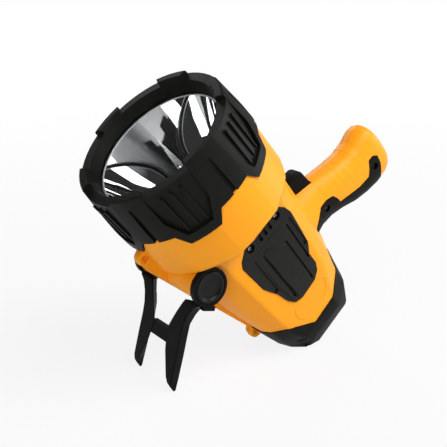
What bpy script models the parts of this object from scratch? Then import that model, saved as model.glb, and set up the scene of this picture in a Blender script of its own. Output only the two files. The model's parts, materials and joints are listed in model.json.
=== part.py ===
# Rechargeable hand spotlight with a pistol grip and a folding H-shaped stand.
# The lamp is modelled along its own axes: +X is where it shines, +Y its left side, +Z the grip.
# One empty then tips the whole lamp back until both feet and the rear cap rest on the floor.

import math

import bmesh
import bpy
import numpy as np
from mathutils import Matrix, Vector

# Driving dimensions, in metres
head_radius = 0.0633
body_length = 0.245
grip_height = 0.150
grip_depth = 0.050
half_width_share = 0.5735
body_half_width = half_width_share * head_radius
shell_wall = 0.0028
clearance = 0.0003
overrun = 0.012
weld_distance = 0.00002
segment_count = 60

# Standing facet under the rear cap, from its lower front edge to its upper rear edge
facet_front_share = 0.9265
facet_front_drop_share = 0.553
facet_rear_drop_share = 0.237
facet_front_x = -facet_front_share * body_length
facet_front_z = -facet_front_drop_share * head_radius
facet_rear_z = -facet_rear_drop_share * head_radius

# Stand pivot, and where a leg points in the open pose
pivot_share = 0.389
pivot_drop_share = 0.842
pivot_x = -pivot_share * body_length
pivot_z = -pivot_drop_share * head_radius
leg_slope = math.radians(56.2)

parts = bpy.data.collections.new("led_spotlight")
cutters = bpy.data.collections.new("cutters")


def clear_scene():
    for thing in list(bpy.data.objects):
        bpy.data.objects.remove(thing, do_unlink=True)
    bpy.context.scene.collection.children.link(parts)
    bpy.context.scene.collection.children.link(cutters)


def make_material(name, color, roughness, metallic=0.0):
    material = bpy.data.materials.new(name)
    material.use_nodes = True
    shader = material.node_tree.nodes["Principled BSDF"]
    shader.inputs["Base Color"].default_value = (*color, 1.0)
    shader.inputs["Roughness"].default_value = roughness
    shader.inputs["Metallic"].default_value = metallic
    material.diffuse_color = (*color, 1.0)
    return material


clear_scene()
orange_shell = make_material("orange_shell", (0.95, 0.42, 0.04), 0.38)
black_rubber = make_material("black_rubber", (0.015, 0.015, 0.014), 0.55)
black_plastic = make_material("black_plastic", (0.02, 0.02, 0.019), 0.42)
clear_lens = make_material("clear_lens", (0.85, 0.88, 0.9), 0.04)
chrome_finish = make_material("chrome_finish", (0.85, 0.85, 0.86), 0.06, 1.0)
steel_finish = make_material("steel_finish", (0.55, 0.55, 0.56), 0.28, 1.0)
aluminium_finish = make_material("aluminium_finish", (0.62, 0.63, 0.65), 0.4, 1.0)
board_finish = make_material("board_finish", (0.05, 0.2, 0.1), 0.5)
emitter_finish = make_material("emitter_finish", (0.9, 0.75, 0.2), 0.3)
cell_finish = make_material("cell_finish", (0.08, 0.2, 0.5), 0.4)
seal_rubber = make_material("seal_rubber", (0.03, 0.03, 0.03), 0.8)

# The pose empty carries every piece, so the lamp is built straight and tipped once
facet_length_x = body_length + facet_front_x
standing_tilt = math.atan2(facet_rear_z - facet_front_z, facet_length_x)
floor_up = Vector((math.sin(standing_tilt), 0, math.cos(standing_tilt)))
floor_along = Vector((math.cos(standing_tilt), 0, -math.sin(standing_tilt)))
pose = bpy.data.objects.new("standing_pose", None)
parts.objects.link(pose)


def keep(name, mesh, material=None, at=(0, 0, 0), cutter=False):
    """Link a mesh as a named piece, or as a hidden cutter."""
    thing = bpy.data.objects.new(name, mesh)
    thing.location = at
    thing.parent = pose
    if cutter:
        cutters.objects.link(thing)
        thing.hide_render = True
        thing.display_type = 'WIRE'
    else:
        parts.objects.link(thing)
        mesh.materials.clear()
        mesh.materials.append(material)
    return thing


def cut(thing, tool, operation='DIFFERENCE', solver='EXACT'):
    modifier = thing.modifiers.new(operation.lower(), 'BOOLEAN')
    modifier.operation = operation
    modifier.object = tool
    modifier.solver = solver
    return modifier


def round_edges(thing, width, segments=2, limit=math.radians(35)):
    modifier = thing.modifiers.new("rounded", 'BEVEL')
    modifier.width = width
    modifier.segments = segments
    modifier.limit_method = 'ANGLE'
    modifier.angle_limit = limit
    modifier.use_clamp_overlap = True
    return modifier


def weld(thing):
    modifier = thing.modifiers.new("welded", 'WELD')
    modifier.merge_threshold = weld_distance
    return modifier


def smooth(mesh):
    mesh.shade_smooth()
    mesh.set_sharp_from_angle(angle=math.radians(32))


def loft_mesh(name, rings):
    """Skin between closed rings of equal count, with a flat face on each end."""
    rings = np.asarray(rings)
    count, around = rings.shape[:2]
    faces = []
    for i in range(count - 1):
        for j in range(around):
            k = (j + 1) % around
            faces.append((i * around + j, i * around + k, (i + 1) * around + k, (i + 1) * around + j))
    faces.append(tuple(range(around))[::-1])
    faces.append(tuple((count - 1) * around + j for j in range(around)))
    mesh = bpy.data.meshes.new(name)
    mesh.from_pydata(rings.reshape(-1, 3).tolist(), [], faces)
    frame = bmesh.new()
    frame.from_mesh(mesh)
    bmesh.ops.triangulate(frame, faces=frame.faces)
    bmesh.ops.recalc_face_normals(frame, faces=frame.faces)
    frame.to_mesh(mesh)
    frame.free()
    smooth(mesh)
    return mesh


def box_mesh(name, low, high):
    """Box between two corners."""
    low, high = Vector(low), Vector(high)
    frame = bmesh.new()
    bmesh.ops.create_cube(frame, size=1.0)
    bmesh.ops.scale(frame, vec=high - low, verts=frame.verts)
    bmesh.ops.translate(frame, vec=(low + high) / 2, verts=frame.verts)
    mesh = bpy.data.meshes.new(name)
    frame.to_mesh(mesh)
    frame.free()
    return mesh


def rod_mesh(name, radius, start, end, sides=32, end_radius=None):
    """Cylinder or cone between two points."""
    start, end = Vector(start), Vector(end)
    frame = bmesh.new()
    bmesh.ops.create_cone(frame, cap_ends=True, segments=sides, radius1=radius,
                          radius2=radius if end_radius is None else end_radius,
                          depth=(end - start).length)
    aim = (end - start).to_track_quat('Z', 'Y').to_matrix().to_4x4()
    bmesh.ops.transform(frame, matrix=Matrix.Translation((start + end) / 2) @ aim, verts=frame.verts)
    mesh = bpy.data.meshes.new(name)
    frame.to_mesh(mesh)
    frame.free()
    smooth(mesh)
    return mesh


def joined_mesh(name, meshes):
    """Several separate closed shapes as one cutter mesh."""
    frame = bmesh.new()
    for mesh in meshes:
        frame.from_mesh(mesh)
    result = bpy.data.meshes.new(name)
    frame.to_mesh(result)
    frame.free()
    return result


def baked_mesh(name, thing):
    """Mesh of an object with its modifiers, in the lamp's own axes."""
    bpy.context.view_layer.update()
    ready = thing.evaluated_get(bpy.context.evaluated_depsgraph_get())
    mesh = bpy.data.meshes.new_from_object(ready)
    mesh.name = name
    mesh.transform(thing.matrix_world)
    bpy.data.objects.remove(thing, do_unlink=True)
    frame = bmesh.new()
    frame.from_mesh(mesh)
    bmesh.ops.remove_doubles(frame, verts=frame.verts, dist=clearance / 10)
    bmesh.ops.recalc_face_normals(frame, faces=frame.faces)
    frame.to_mesh(mesh)
    frame.free()
    return mesh


def turned_mesh(name, profile, closed, steps=segment_count, at=(0, 0, 0)):
    """Profile of (x, radius) points, front outer point first, turned about an X axis."""
    mesh = bpy.data.meshes.new(name)
    points = [(radius, 0, x) for x, radius in profile]
    edges = [(i, i + 1) for i in range(len(points) - 1)]
    if closed:
        edges.append((len(points) - 1, 0))
    mesh.from_pydata(points, edges, [])
    thing = bpy.data.objects.new(name, mesh)
    cutters.objects.link(thing)
    thing.rotation_euler = (0, math.pi / 2, 0)
    thing.location = at
    screw = thing.modifiers.new("turned", 'SCREW')
    screw.axis = 'Z'
    screw.steps = steps
    screw.render_steps = steps
    screw.use_merge_vertices = True
    screw.merge_threshold = 0.00001
    result = baked_mesh(name, thing)
    smooth(result)
    return result


def flat_mesh(name, outline, thickness, matrix):
    """Flat outline, drawn in its own XY plane, extruded both ways by half its thickness."""
    curve = bpy.data.curves.new(name, 'CURVE')
    curve.dimensions = '2D'
    curve.fill_mode = 'BOTH'
    curve.extrude = thickness / 2
    spline = curve.splines.new('POLY')
    spline.points.add(len(outline) - 1)
    for point, (u, v) in zip(spline.points, outline):
        point.co = (u, v, 0, 1)
    spline.use_cyclic_u = True
    thing = bpy.data.objects.new(name, curve)
    cutters.objects.link(thing)
    thing.matrix_world = matrix
    return baked_mesh(name, thing)


# Side view: outline X and Z in the lamp's axes, thickness along Y
side_view = Matrix.Rotation(math.pi / 2, 4, 'X')


def side_mesh(name, outline, y_low, y_high):
    """Outline of (x, z) points extruded from one Y to another."""
    middle = Matrix.Translation((0, (y_low + y_high) / 2, 0))
    return flat_mesh(name, outline, y_high - y_low, middle @ side_view)


def grown(outline, distance):
    """Outline moved outward along its corner normals."""
    points = np.asarray(outline, float)
    before = points - np.roll(points, 1, axis=0)
    after = np.roll(points, -1, axis=0) - points
    area = (points[:, 0] * np.roll(points[:, 1], -1) - np.roll(points[:, 0], -1) * points[:, 1]).sum()
    turn = 1 if area > 0 else -1
    normals = [np.stack([e[:, 1], -e[:, 0]], 1) / np.linalg.norm(e, axis=1)[:, None] * turn
               for e in (before, after)]
    both = normals[0] + normals[1]
    scale = 2 / np.maximum((both ** 2).sum(1), 1)
    return points + both * scale[:, None] * distance


# Hull: each section is cut from the drum circle by flat sides that meet in rounded corners.
# Columns: distances of the side, upper side, shoulder, top, lower side, keel side and bottom.
hull_x_shares = (0, 0.317, 0.322, 0.331, 0.351, 0.376, 0.400, 0.449, 0.612, 0.747, 0.837, 0.882)
hull_flat_shares = (
    (1.50, 1.50, 1.50, 1.50, 1.50, 1.50, 1.50),
    (1.50, 1.50, 1.50, 1.50, 1.50, 1.50, 1.50),
    (1.50, 1.50, 1.50, 1.50, 1.50, 1.50, 1.50),
    (0.97, 0.98, 0.99, 1.00, 0.97, 0.97, 0.97),
    (0.82, 0.90, 0.96, 0.98, 0.90, 0.92, 0.94),
    (0.67, 0.83, 0.92, 0.95, 0.83, 0.875, 0.90),
    (0.597, 0.775, 0.885, 0.925, 0.80, 0.845, 0.877),
    (0.577, 0.750, 0.845, 0.90, 0.79, 0.828, 0.853),
    (0.573, 0.735, 0.82, 0.885, 0.775, 0.812, 0.79),
    (0.569, 0.708, 0.79, 0.853, 0.755, 0.765, 0.711),
    (0.553, 0.640, 0.72, 0.806, 0.711, 0.716, 0.655),
    (0.542, 0.60, 0.70, 0.758, 0.664, 0.677, 0.624),
)
facet_front_flat_shares = (0.537, 0.592, 0.69, 0.67, 0.605, 0.624)
facet_middle_flat_shares = (0.483, 0.566, 0.65, 0.603, 0.603, 0.561)
rear_flat_shares = (0.385, 0.521, 0.57, 0.49, 0.441, 0.359)
facet_middle_share = 0.36
flat_angles = [math.radians(a) for a in (0, 27, 57, 90, -42, -68, -90)]

# Flats in turn from the bottom to the top, and how many points each takes between its corners
flat_order = (6, 5, 4, 0, 1, 2, 3)
outer_stops = (0, 1, 4, 3, 2, 2, 1)
inner_stops = (0, 0, 0, 1, 0, 0, 0)
corner_round = 0.0018
corner_limit_share = 0.3


def hull_stations():
    """Places along X and the flat distances there, ending with the standing facet."""
    places = [-share * body_length for share in hull_x_shares]
    flats = [[share * head_radius for share in row] for row in hull_flat_shares]
    for along, shares in ((0, facet_front_flat_shares), (facet_middle_share, facet_middle_flat_shares),
                          (1, rear_flat_shares)):
        places.append(facet_front_x + (-body_length - facet_front_x) * along)
        drop = facet_front_z + (facet_rear_z - facet_front_z) * along
        flats.append([share * head_radius for share in shares] + [-drop])
    return np.array(places), np.array(flats)


def corner_of(first, second):
    """Where two sides, each given as its facing angle and distance, meet."""
    (low_turn, low), (high_turn, high) = first, second
    across = math.sin(high_turn - low_turn)
    y = (low * math.sin(high_turn) - high * math.sin(low_turn)) / across
    z = (high * math.cos(low_turn) - low * math.cos(high_turn)) / across
    return y, z


def hull_ring(x, flats, circle, offset, stops):
    """Section at x: straight sides moved by offset, rounded corners, nothing outside the circle."""
    sides = [[flat_angles[i], flats[i] + offset] for i in flat_order]
    for i in range(1, len(sides) - 1):
        y, z = corner_of(sides[i - 1], sides[i + 1])
        reach = y * math.cos(sides[i][0]) + z * math.sin(sides[i][0])
        sides[i][1] = min(sides[i][1], reach - clearance)
    corners = [corner_of(low, high) for low, high in zip(sides, sides[1:])]
    turns = [math.atan2(z, y) for y, z in corners]
    spans = np.diff([sides[0][0]] + turns + [sides[-1][0]])
    half = []
    for i, (facing, distance) in enumerate(sides):
        start, end = facing, facing
        if i:
            reach = math.hypot(*corners[i - 1])
            spread = min(corner_round / reach, corner_limit_share * min(spans[i - 1], spans[i]))
            bend = facing - sides[i - 1][0]
            half.append((turns[i - 1], reach * (1 - spread * math.tan(bend / 4))))
            start = turns[i - 1] + spread
        if i < len(corners):
            spread = min(corner_round / math.hypot(*corners[i]), corner_limit_share * min(spans[i], spans[i + 1]))
            end = turns[i] - spread
        half += [(turn, distance / math.cos(turn - facing)) for turn in np.linspace(start, end, stops[i] + 2)]
    full = half + [(math.pi - turn, radius) for turn, radius in half[-2:0:-1]]
    turn = np.array([turn for turn, radius in full])
    radius = np.minimum([radius for turn, radius in full], circle + offset)
    return np.stack([np.full_like(turn, x), radius * np.cos(turn), radius * np.sin(turn)], 1)


def hull_mesh(name, front, rear, offset, circle=head_radius, stops=outer_stops):
    """Hull from the front place to the rear place, each side moved by offset."""
    places, flats = hull_stations()
    inside = [i for i, x in enumerate(places) if rear < x < front]
    rings = []
    for x in [front] + [places[i] for i in inside] + [rear]:
        row = [np.interp(-x, -places, flats[:, i]) for i in range(flats.shape[1])]
        rings.append(hull_ring(x, row, circle, offset, stops))
    return loft_mesh(name, rings)


# Grip: sections along Z, with front and back places, half width, as shares
grip_z_shares = (0.27, 0.33, 0.40, 0.48, 0.56, 0.653, 0.747, 0.84, 0.92, 0.96, 0.982, 0.994, 1.0)
grip_front_shares = (-0.538, -0.546, -0.556, -0.570, -0.588, -0.607, -0.622, -0.622, -0.610, -0.613, -0.623, -0.641,
                     -0.668)
grip_back_shares = (-0.757, -0.749, -0.745, -0.753, -0.769, -0.798, -0.8175, -0.829, -0.830, -0.822, -0.808, -0.788,
                    -0.762)
grip_width_shares = (0.46, 0.385, 0.340, 0.316, 0.311, 0.316, 0.32, 0.326, 0.326, 0.31, 0.27, 0.21, 0.12)
grip_powers = (2.2, 2.1, 2.1, 2.15, 2.4, 2.6, 2.6, 2.6, 2.6, 2.6, 2.5, 2.4, 2.3)
foot_short_share = 0.02
grip_segment_count = 32


def grip_mesh(name, offset, foot_share=0):
    """Grip as superellipse sections, its surface moved by offset."""
    turn = np.arange(grip_segment_count) * 2 * math.pi / grip_segment_count
    rings = []
    for z, front, back, width, power in zip(grip_z_shares, grip_front_shares, grip_back_shares,
                                            grip_width_shares, grip_powers):
        middle = (front + back) / 2 * body_length
        half_depth = (front - back) / 2 * body_length + offset
        half_width = width * grip_depth + offset
        c, s = np.cos(turn), np.sin(turn)
        x = middle + half_depth * np.sign(c) * np.abs(c) ** (2 / power)
        y = half_width * np.sign(s) * np.abs(s) ** (2 / power)
        height = z * grip_height + (offset if z == grip_z_shares[-1] else 0)
        if z == grip_z_shares[0]:
            height = (z - foot_share) * grip_height
        rings.append(np.stack([x, y, np.full_like(x, height)], 1))
    return loft_mesh(name, rings)


# Bezel: a stout ring over the front of the drum, with six raised panels and six ribbed fields
panel_count = 6
bezel_length_share = 0.779
bezel_front_share = 0.0585
bezel_edge_share = 0.967
bezel_rear_share = 1.027
bezel_bore_share = 0.968
bezel_lip_share = 0.853
lens_view_share = 0.809
lens_front_share = 0.150
lens_radius_share = 0.893
field_front_radius_share = 0.968
field_rear_radius_share = 0.983
field_straight_share = 0.387
field_end_share = 0.656
rib_front_share = 0.087
rib_end_share = 0.616
panel_end_share = 0.608
bezel_length = bezel_length_share * head_radius
bezel_front_x = bezel_front_share * head_radius
bezel_edge_radius = bezel_edge_share * head_radius
bezel_rear_radius = bezel_rear_share * head_radius
bezel_bore_radius = bezel_bore_share * head_radius
bezel_lip_radius = bezel_lip_share * head_radius
lens_view_radius = lens_view_share * head_radius
lens_front_x = -lens_front_share * head_radius
lens_radius = lens_radius_share * head_radius
field_front_radius = field_front_radius_share * head_radius
field_rear_radius = field_rear_radius_share * head_radius
field_straight_x = -field_straight_share * head_radius
field_end_x = -field_end_share * head_radius
rib_front_x = -rib_front_share * head_radius
rib_end_x = -rib_end_share * head_radius
slot_front_x = -rib_front_share * head_radius
panel_end_x = -panel_end_share * head_radius
lens_thickness = 0.0022
gasket_thickness = 0.0012
flange_thickness = 0.0020
field_half_turn = math.radians(16.3)
field_narrow_turn = math.radians(9.0)
rib_turn = math.radians(7.0)
rib_width = 0.0017
rib_height = 0.0011
slot_width = 0.0036
slot_depth = 0.0014
tooth_base_turn = math.radians(17.2)
tooth_tip_turn = math.radians(11.2)
bevel_band = 0.0012

gasket_front_x = lens_front_x - lens_thickness - 2 * clearance
flange_front_x = gasket_front_x - gasket_thickness - clearance
neck_front_x = flange_front_x - flange_thickness - clearance


def around(mesh_maker, name, phase):
    """Six copies of one shape, a sixth of a turn apart about the X axis, as one mesh."""
    meshes = []
    for i in range(panel_count):
        mesh = mesh_maker(name + str(i))
        mesh.transform(Matrix.Rotation(phase + i * 2 * math.pi / panel_count, 4, 'X'))
        meshes.append(mesh)
    return joined_mesh(name, meshes)


# Plates stop short of the axis, so that the six never touch each other
plate_low_share = 0.7
plate_high_share = 1.4


# Outlines on the drum are drawn with X along the lamp and the other way across, outside facing +Z
def drum_plate(name, outline):
    low = plate_low_share * head_radius
    high = plate_high_share * head_radius
    return flat_mesh(name, outline, high - low, Matrix.Translation((0, 0, (low + high) / 2)))


def arc_width(turn):
    return bezel_rear_radius * math.sin(turn)


def field_mesh(name):
    front = overrun
    wide = arc_width(field_half_turn)
    narrow = arc_width(field_narrow_turn)
    outline = [(front, wide), (field_straight_x, wide), (field_end_x, narrow),
               (field_end_x, -narrow), (field_straight_x, -wide), (front, -wide)]
    return drum_plate(name, outline)


def tooth_gap_mesh(name, spare=0):
    step = math.pi / panel_count
    near = arc_width(step - tooth_base_turn) - spare
    far = arc_width(step - tooth_tip_turn) - spare
    slope = (far - near) / (bezel_length + panel_end_x)
    past = overrun / 2
    rear = -bezel_length - past
    outline = [(panel_end_x - spare, near), (-bezel_length, far), (rear, far + slope * past),
               (rear, -far - slope * past), (-bezel_length, -far), (panel_end_x - spare, -near)]
    return drum_plate(name, outline)


def slot_mesh(name):
    floor = bezel_edge_radius
    return box_mesh(name, (-bezel_length, -slot_width / 2, floor),
                    (slot_front_x, slot_width / 2, head_radius + overrun))


def build_bezel():
    ring = [(bezel_front_x, bezel_edge_radius - bevel_band), (bezel_front_x - bevel_band, bezel_edge_radius),
            (field_straight_x, (bezel_edge_radius + bezel_rear_radius) / 2 + bevel_band),
            (panel_end_x, bezel_rear_radius), (-bezel_length, bezel_rear_radius),
            (-bezel_length, bezel_bore_radius), (neck_front_x + clearance, bezel_bore_radius),
            (neck_front_x + clearance, lens_radius + 2 * clearance), (lens_front_x, lens_radius + 2 * clearance),
            (lens_front_x, lens_view_radius), (bevel_band, bezel_lip_radius),
            (bezel_front_x, bezel_lip_radius + bevel_band)]
    bezel = keep("bezel", turned_mesh("bezel", ring, True), black_rubber)
    step = math.pi / panel_count

    # Fields: the ring is lowered over each field's outline, and ribs stand in it
    lowered = [(overrun, head_radius + overrun), (-bezel_length - overrun, head_radius + overrun),
               (-bezel_length - overrun, field_rear_radius), (0, field_front_radius),
               (0, lens_view_radius - overrun), (overrun, lens_view_radius - overrun)]
    lowering = keep("bezel_field_cut", turned_mesh("bezel_field_cut", lowered, True), cutter=True)
    fields = keep("bezel_field_outline", around(field_mesh, "bezel_field_outline", 0), cutter=True)
    cut(lowering, fields, 'INTERSECT')
    cut(bezel, lowering, solver='MANIFOLD')

    gaps = keep("bezel_tooth_gaps", around(tooth_gap_mesh, "bezel_tooth_gaps", step), cutter=True)
    cut(bezel, gaps, solver='MANIFOLD')

    slots = keep("bezel_slots", around(slot_mesh, "bezel_slots", step), cutter=True)
    slot_floor = [(overrun, head_radius + overrun), (-bezel_length - overrun, head_radius + overrun),
                  (-bezel_length - overrun, bezel_rear_radius - slot_depth),
                  (overrun, bezel_edge_radius - slot_depth / 2)]
    slot_band = keep("bezel_slot_band", turned_mesh("bezel_slot_band", slot_floor, True), cutter=True)
    cut(slots, slot_band, 'INTERSECT')
    cut(bezel, slots, solver='MANIFOLD')

    ribs = []
    for i in range(panel_count):
        for turn in (-rib_turn, 0, rib_turn):
            low = bezel_bore_radius + clearance
            rib = box_mesh("rib", (rib_end_x, -rib_width / 2, low), (rib_front_x, rib_width / 2,
                                                                   field_rear_radius + rib_height))
            rib.transform(Matrix.Rotation(i * 2 * math.pi / panel_count + turn, 4, 'X'))
            ribs.append(rib)
    rib_tool = keep("bezel_ribs", joined_mesh("bezel_ribs", ribs), cutter=True)
    cut(bezel, rib_tool, 'UNION', solver='MANIFOLD')
    return bezel


# Optics: lens, its seal, one mirror bowl and the light board behind it
bowl_focus_share = 0.155
bowl_rim_share = 0.795
bowl_hole_share = 0.145
bowl_stop_count = 10
reflector_wall = 0.0018
reflector_flange_share = 0.893
gasket_inner_share = 0.818
board_share = 0.38
sink_share = 0.47
emitter_share = 0.08
bowl_focus = bowl_focus_share * head_radius
bowl_rim_radius = bowl_rim_share * head_radius
bowl_hole_radius = bowl_hole_share * head_radius
reflector_flange_radius = reflector_flange_share * head_radius
gasket_inner_radius = gasket_inner_share * head_radius
board_radius = board_share * head_radius
sink_radius = sink_share * head_radius
emitter_radius = emitter_share * head_radius
board_thickness = 0.0016
emitter_height = 0.0022
emitter_top_share = 0.7
heat_sink_thickness = 0.0035
fin_length = 0.0120
fin_count = 5
fin_thickness = 0.0020
fin_pitch = 0.0095
fin_reach_share = 0.9


def bowl_x(radius):
    """Mirror paraboloid: x = bottom + r squared / (4 focus), its rim on the flange plane."""
    return flange_front_x - (bowl_rim_radius ** 2 - radius ** 2) / (4 * bowl_focus)


board_front_x = bowl_x(bowl_hole_radius) - reflector_wall - clearance


def build_optics():
    lens_back_x = lens_front_x - clearance - lens_thickness
    lens = [(lens_front_x - clearance, 0), (lens_front_x - clearance, lens_radius),
            (lens_back_x, lens_radius), (lens_back_x, 0)]
    keep("lens", turned_mesh("lens", lens, False, steps=48), clear_lens)

    seal = [(gasket_front_x, lens_radius), (gasket_front_x - gasket_thickness, lens_radius),
            (gasket_front_x - gasket_thickness, gasket_inner_radius), (gasket_front_x, gasket_inner_radius)]
    keep("lens_gasket", turned_mesh("lens_gasket", seal, True, steps=48), seal_rubber)

    # The bowl is one turned shell: flange, outside down to the foot, hole, then the mirror up to the rim
    radii = np.linspace(bowl_rim_radius, bowl_hole_radius, bowl_stop_count)
    outer = [(bowl_x(radius) - reflector_wall, radius + reflector_wall) for radius in radii[1:]]
    shell = [(flange_front_x, reflector_flange_radius), (flange_front_x - flange_thickness, reflector_flange_radius),
             (flange_front_x - flange_thickness, bowl_rim_radius + reflector_wall)] + outer
    shell.append((bowl_x(bowl_hole_radius) - reflector_wall, bowl_hole_radius))
    shell += [(bowl_x(radius), radius) for radius in radii[::-1]]
    keep("reflector", turned_mesh("reflector", shell, True, steps=48), chrome_finish)

    board_back_x = board_front_x - board_thickness
    board = rod_mesh("led_board", board_radius, (board_back_x, 0, 0), (board_front_x, 0, 0), sides=40)
    keep("led_board", board, aluminium_finish)
    emitter_foot_x = board_front_x + clearance
    emitter = rod_mesh("led_emitter", emitter_radius, (emitter_foot_x, 0, 0), (emitter_foot_x + emitter_height, 0, 0),
                       sides=24, end_radius=emitter_radius * emitter_top_share)
    keep("led_emitter", emitter, emitter_finish)

    sink_front_x = board_back_x - clearance
    sink_back_x = sink_front_x - heat_sink_thickness
    base = rod_mesh("heat_sink", sink_radius, (sink_back_x, 0, 0), (sink_front_x, 0, 0), sides=40)
    sink = keep("heat_sink", base, aluminium_finish)
    fins = []
    for i in range(fin_count):
        y = (i - (fin_count - 1) / 2) * fin_pitch
        half = math.sqrt(sink_radius ** 2 - y ** 2) * fin_reach_share
        fins.append(box_mesh("fin", (sink_back_x - fin_length, y - fin_thickness / 2, -half),
                             (sink_back_x + heat_sink_thickness / 2, y + fin_thickness / 2, half)))
    cut(sink, keep("heat_sink_fins", joined_mesh("heat_sink_fins", fins), cutter=True), 'UNION')


# Keel: a thin rib under the hull where the two shell halves are screwed together
keel_half_width = 0.0035
keel_boss_radius = 0.0060
keel_front_share = 0.249
keel_front_drop_share = 1.026
keel_rear_share = 0.805
keel_rear_drop_share = 0.678
keel_front_x = -keel_front_share * body_length
keel_front_z = -keel_front_drop_share * head_radius
keel_rear_x = -keel_rear_share * body_length
keel_rear_z = -keel_rear_drop_share * head_radius
keel_end_share = 0.800
keel_end_drop_share = 0.705
keel_end_x = -keel_end_share * body_length
keel_end_z = -keel_end_drop_share * head_radius
keel_shank_length = 0.0034
keel_dimple_radius = 0.0026
keel_dimple_depth = 0.0006
boss_segment_count = 12


# Rear cap: everything behind a bent parting line seen from the side
cap_line_shares = ((-0.831, 0.40), (-0.849, 0.253), (-0.878, 0.11), (-0.8825, -0.06), (-0.812, -0.168),
                   (-0.790, -0.212), (-0.775, -0.262), (-0.765, -0.40))
cap_notch_share = 0.845
cap_notch_top_share = 0.24
cap_notch_margin = 0.0014
cap_proud = 0.0008


def cap_region(name, spare):
    line = [(x * body_length + spare, z * grip_height) for x, z in cap_line_shares]
    far = -body_length - overrun
    return side_mesh(name, line + [(far, line[-1][1]), (far, line[0][1])], -head_radius, head_radius)


def cap_notch(name, spare):
    """Room in the cap's underside for the keel, which belongs to the shell."""
    half = keel_half_width + cap_notch_margin + spare
    return box_mesh(name, (-cap_notch_share * body_length - spare, -half, -2 * head_radius),
                    (0, half, -cap_notch_top_share * grip_height + spare))


cap_slot_length = 0.009
cap_slot_width = 0.0028
cap_slot_depth = 0.0015
cap_slot_share = 0.953
cap_slot_x = -cap_slot_share * body_length
cap_wall = 0.0030


def build_cap():
    front = -cap_line_shares[-1][0] * body_length
    cap = keep("rear_cap", hull_mesh("rear_cap", -front + overrun, -body_length, cap_proud), black_rubber)
    cut(cap, keep("cap_region", cap_region("cap_region", -clearance / 2), cutter=True), 'INTERSECT')
    cut(cap, keep("cap_notch", cap_notch("cap_notch", clearance / 2), cutter=True))
    inside = hull_mesh("cap_inside", -front + 2 * overrun, -body_length + cap_wall, -cap_wall,
                       stops=inner_stops)
    cut(cap, keep("cap_inside", inside, cutter=True))
    places, flats = hull_stations()
    lower = np.interp(-cap_slot_x, -places, flats[:, 4]) + cap_proud
    slot = box_mesh("cap_slot", (cap_slot_x - cap_slot_length / 2, lower - cap_slot_depth, -cap_slot_width / 2),
                    (cap_slot_x + cap_slot_length / 2, lower + overrun, cap_slot_width / 2))
    slot.transform(Matrix.Rotation(flat_angles[4], 4, 'X'))
    cut(cap, keep("cap_slot", slot, cutter=True))

    # The standing facet is planed flat where the lamp meets the floor
    level = Vector((facet_front_x, 0, facet_front_z))
    corners = [level + floor_along * a + floor_up * b for a, b in
               ((overrun, 0), (-body_length, 0), (-body_length, -overrun), (overrun, -overrun))]
    under = side_mesh("cap_facet", [(point.x, point.z) for point in corners], -head_radius, head_radius)
    cut(cap, keep("cap_facet", under, cutter=True))
    return cap


# Grip strap: a soft strip let into the back of the grip, with a screwed lobe at each end
strap_shares = ((-0.686, 0.333), (-0.665, 0.393), (-0.647, 0.433), (-0.650, 0.487), (-0.663, 0.533),
                (-0.690, 0.550), (-0.712, 0.553), (-0.722, 0.607), (-0.741, 0.707), (-0.746, 0.787),
                (-0.722, 0.820), (-0.697, 0.843), (-0.697, 0.880), (-0.714, 0.907), (-0.746, 0.900),
                (-0.790, 0.872), (-0.880, 0.862), (-0.880, 0.333))
strap_thickness = 0.0020
strap_proud = 0.0004
grip_wall = 0.0038
strap_screw_shares = ((-0.677, 0.462), (-0.737, 0.860))
strap_screw_share = 0.29
screw_head_radius = 0.0026
screw_head_height = 0.0018
screw_hole_radius = 0.0031
screw_shank_radius = 0.0013
screw_shank_length = 0.0050


def strap_outline():
    return [(x * body_length, z * grip_height) for x, z in strap_shares]


def screw_mesh(name, x, y, z, side, shank_length):
    """Pan head facing outward at y, with a shank pointing inward."""
    head = rod_mesh(name, screw_head_radius, (x, y - side * screw_head_height, z), (x, y, z), sides=16)
    shank = rod_mesh(name + "_shank", screw_shank_radius,
                     (x, y - side * (screw_head_height + shank_length), z),
                     (x, y - side * screw_head_height / 2, z), sides=10)
    return head, shank


def place_screw(name, x, y, z, side, hosts, shank_length=screw_shank_length):
    """A screw, its recess and its clearance hole in every piece that it passes."""
    head, shank = screw_mesh(name, x, y, z, side, shank_length)
    screw = keep(name, head, steel_finish)
    cut(screw, keep(name + "_shank", shank, cutter=True), 'UNION')
    recess = rod_mesh(name + "_recess", screw_hole_radius,
                      (x, y - side * (screw_head_height + clearance), z), (x, y + side * overrun, z), sides=16)
    bore = rod_mesh(name + "_bore", screw_shank_radius + clearance,
                    (x, y - side * (screw_head_height + shank_length + clearance), z),
                    (x, y, z), sides=10)
    recess_tool = keep(name + "_recess", recess, cutter=True)
    bore_tool = keep(name + "_bore", bore, cutter=True)
    for host in hosts:
        cut(host, recess_tool)
        cut(host, bore_tool)


def build_strap():
    strap = keep("grip_strap", grip_mesh("grip_strap", strap_proud), black_rubber)
    region = side_mesh("strap_region", strap_outline(), -head_radius, head_radius)
    cut(strap, keep("strap_region", region, cutter=True), 'INTERSECT')
    inner = grip_mesh("strap_inside", -strap_thickness)
    cut(strap, keep("strap_inside", inner, cutter=True))
    return strap


# Trigger, its spring and the switch that it presses
trigger_shares = ((-0.5073, 0.380), (-0.5012, 0.440), (-0.5037, 0.473), (-0.5155, 0.496),
                  (-0.5755, 0.505), (-0.6120, 0.505), (-0.6120, 0.380))
trigger_half_width = 0.0060
trigger_round = 0.0020
trigger_travel = 0.0055
spring_radius = 0.0024
spring_wire = 0.00045
spring_turns = 4
spring_z_share = 0.443
spring_bore_radius = 0.0032
switch_depth = 0.0090
switch_half_width = 0.0060
switch_half_height = 0.0070


def trigger_outline():
    return [(x * body_length, z * grip_height) for x, z in trigger_shares]


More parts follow.
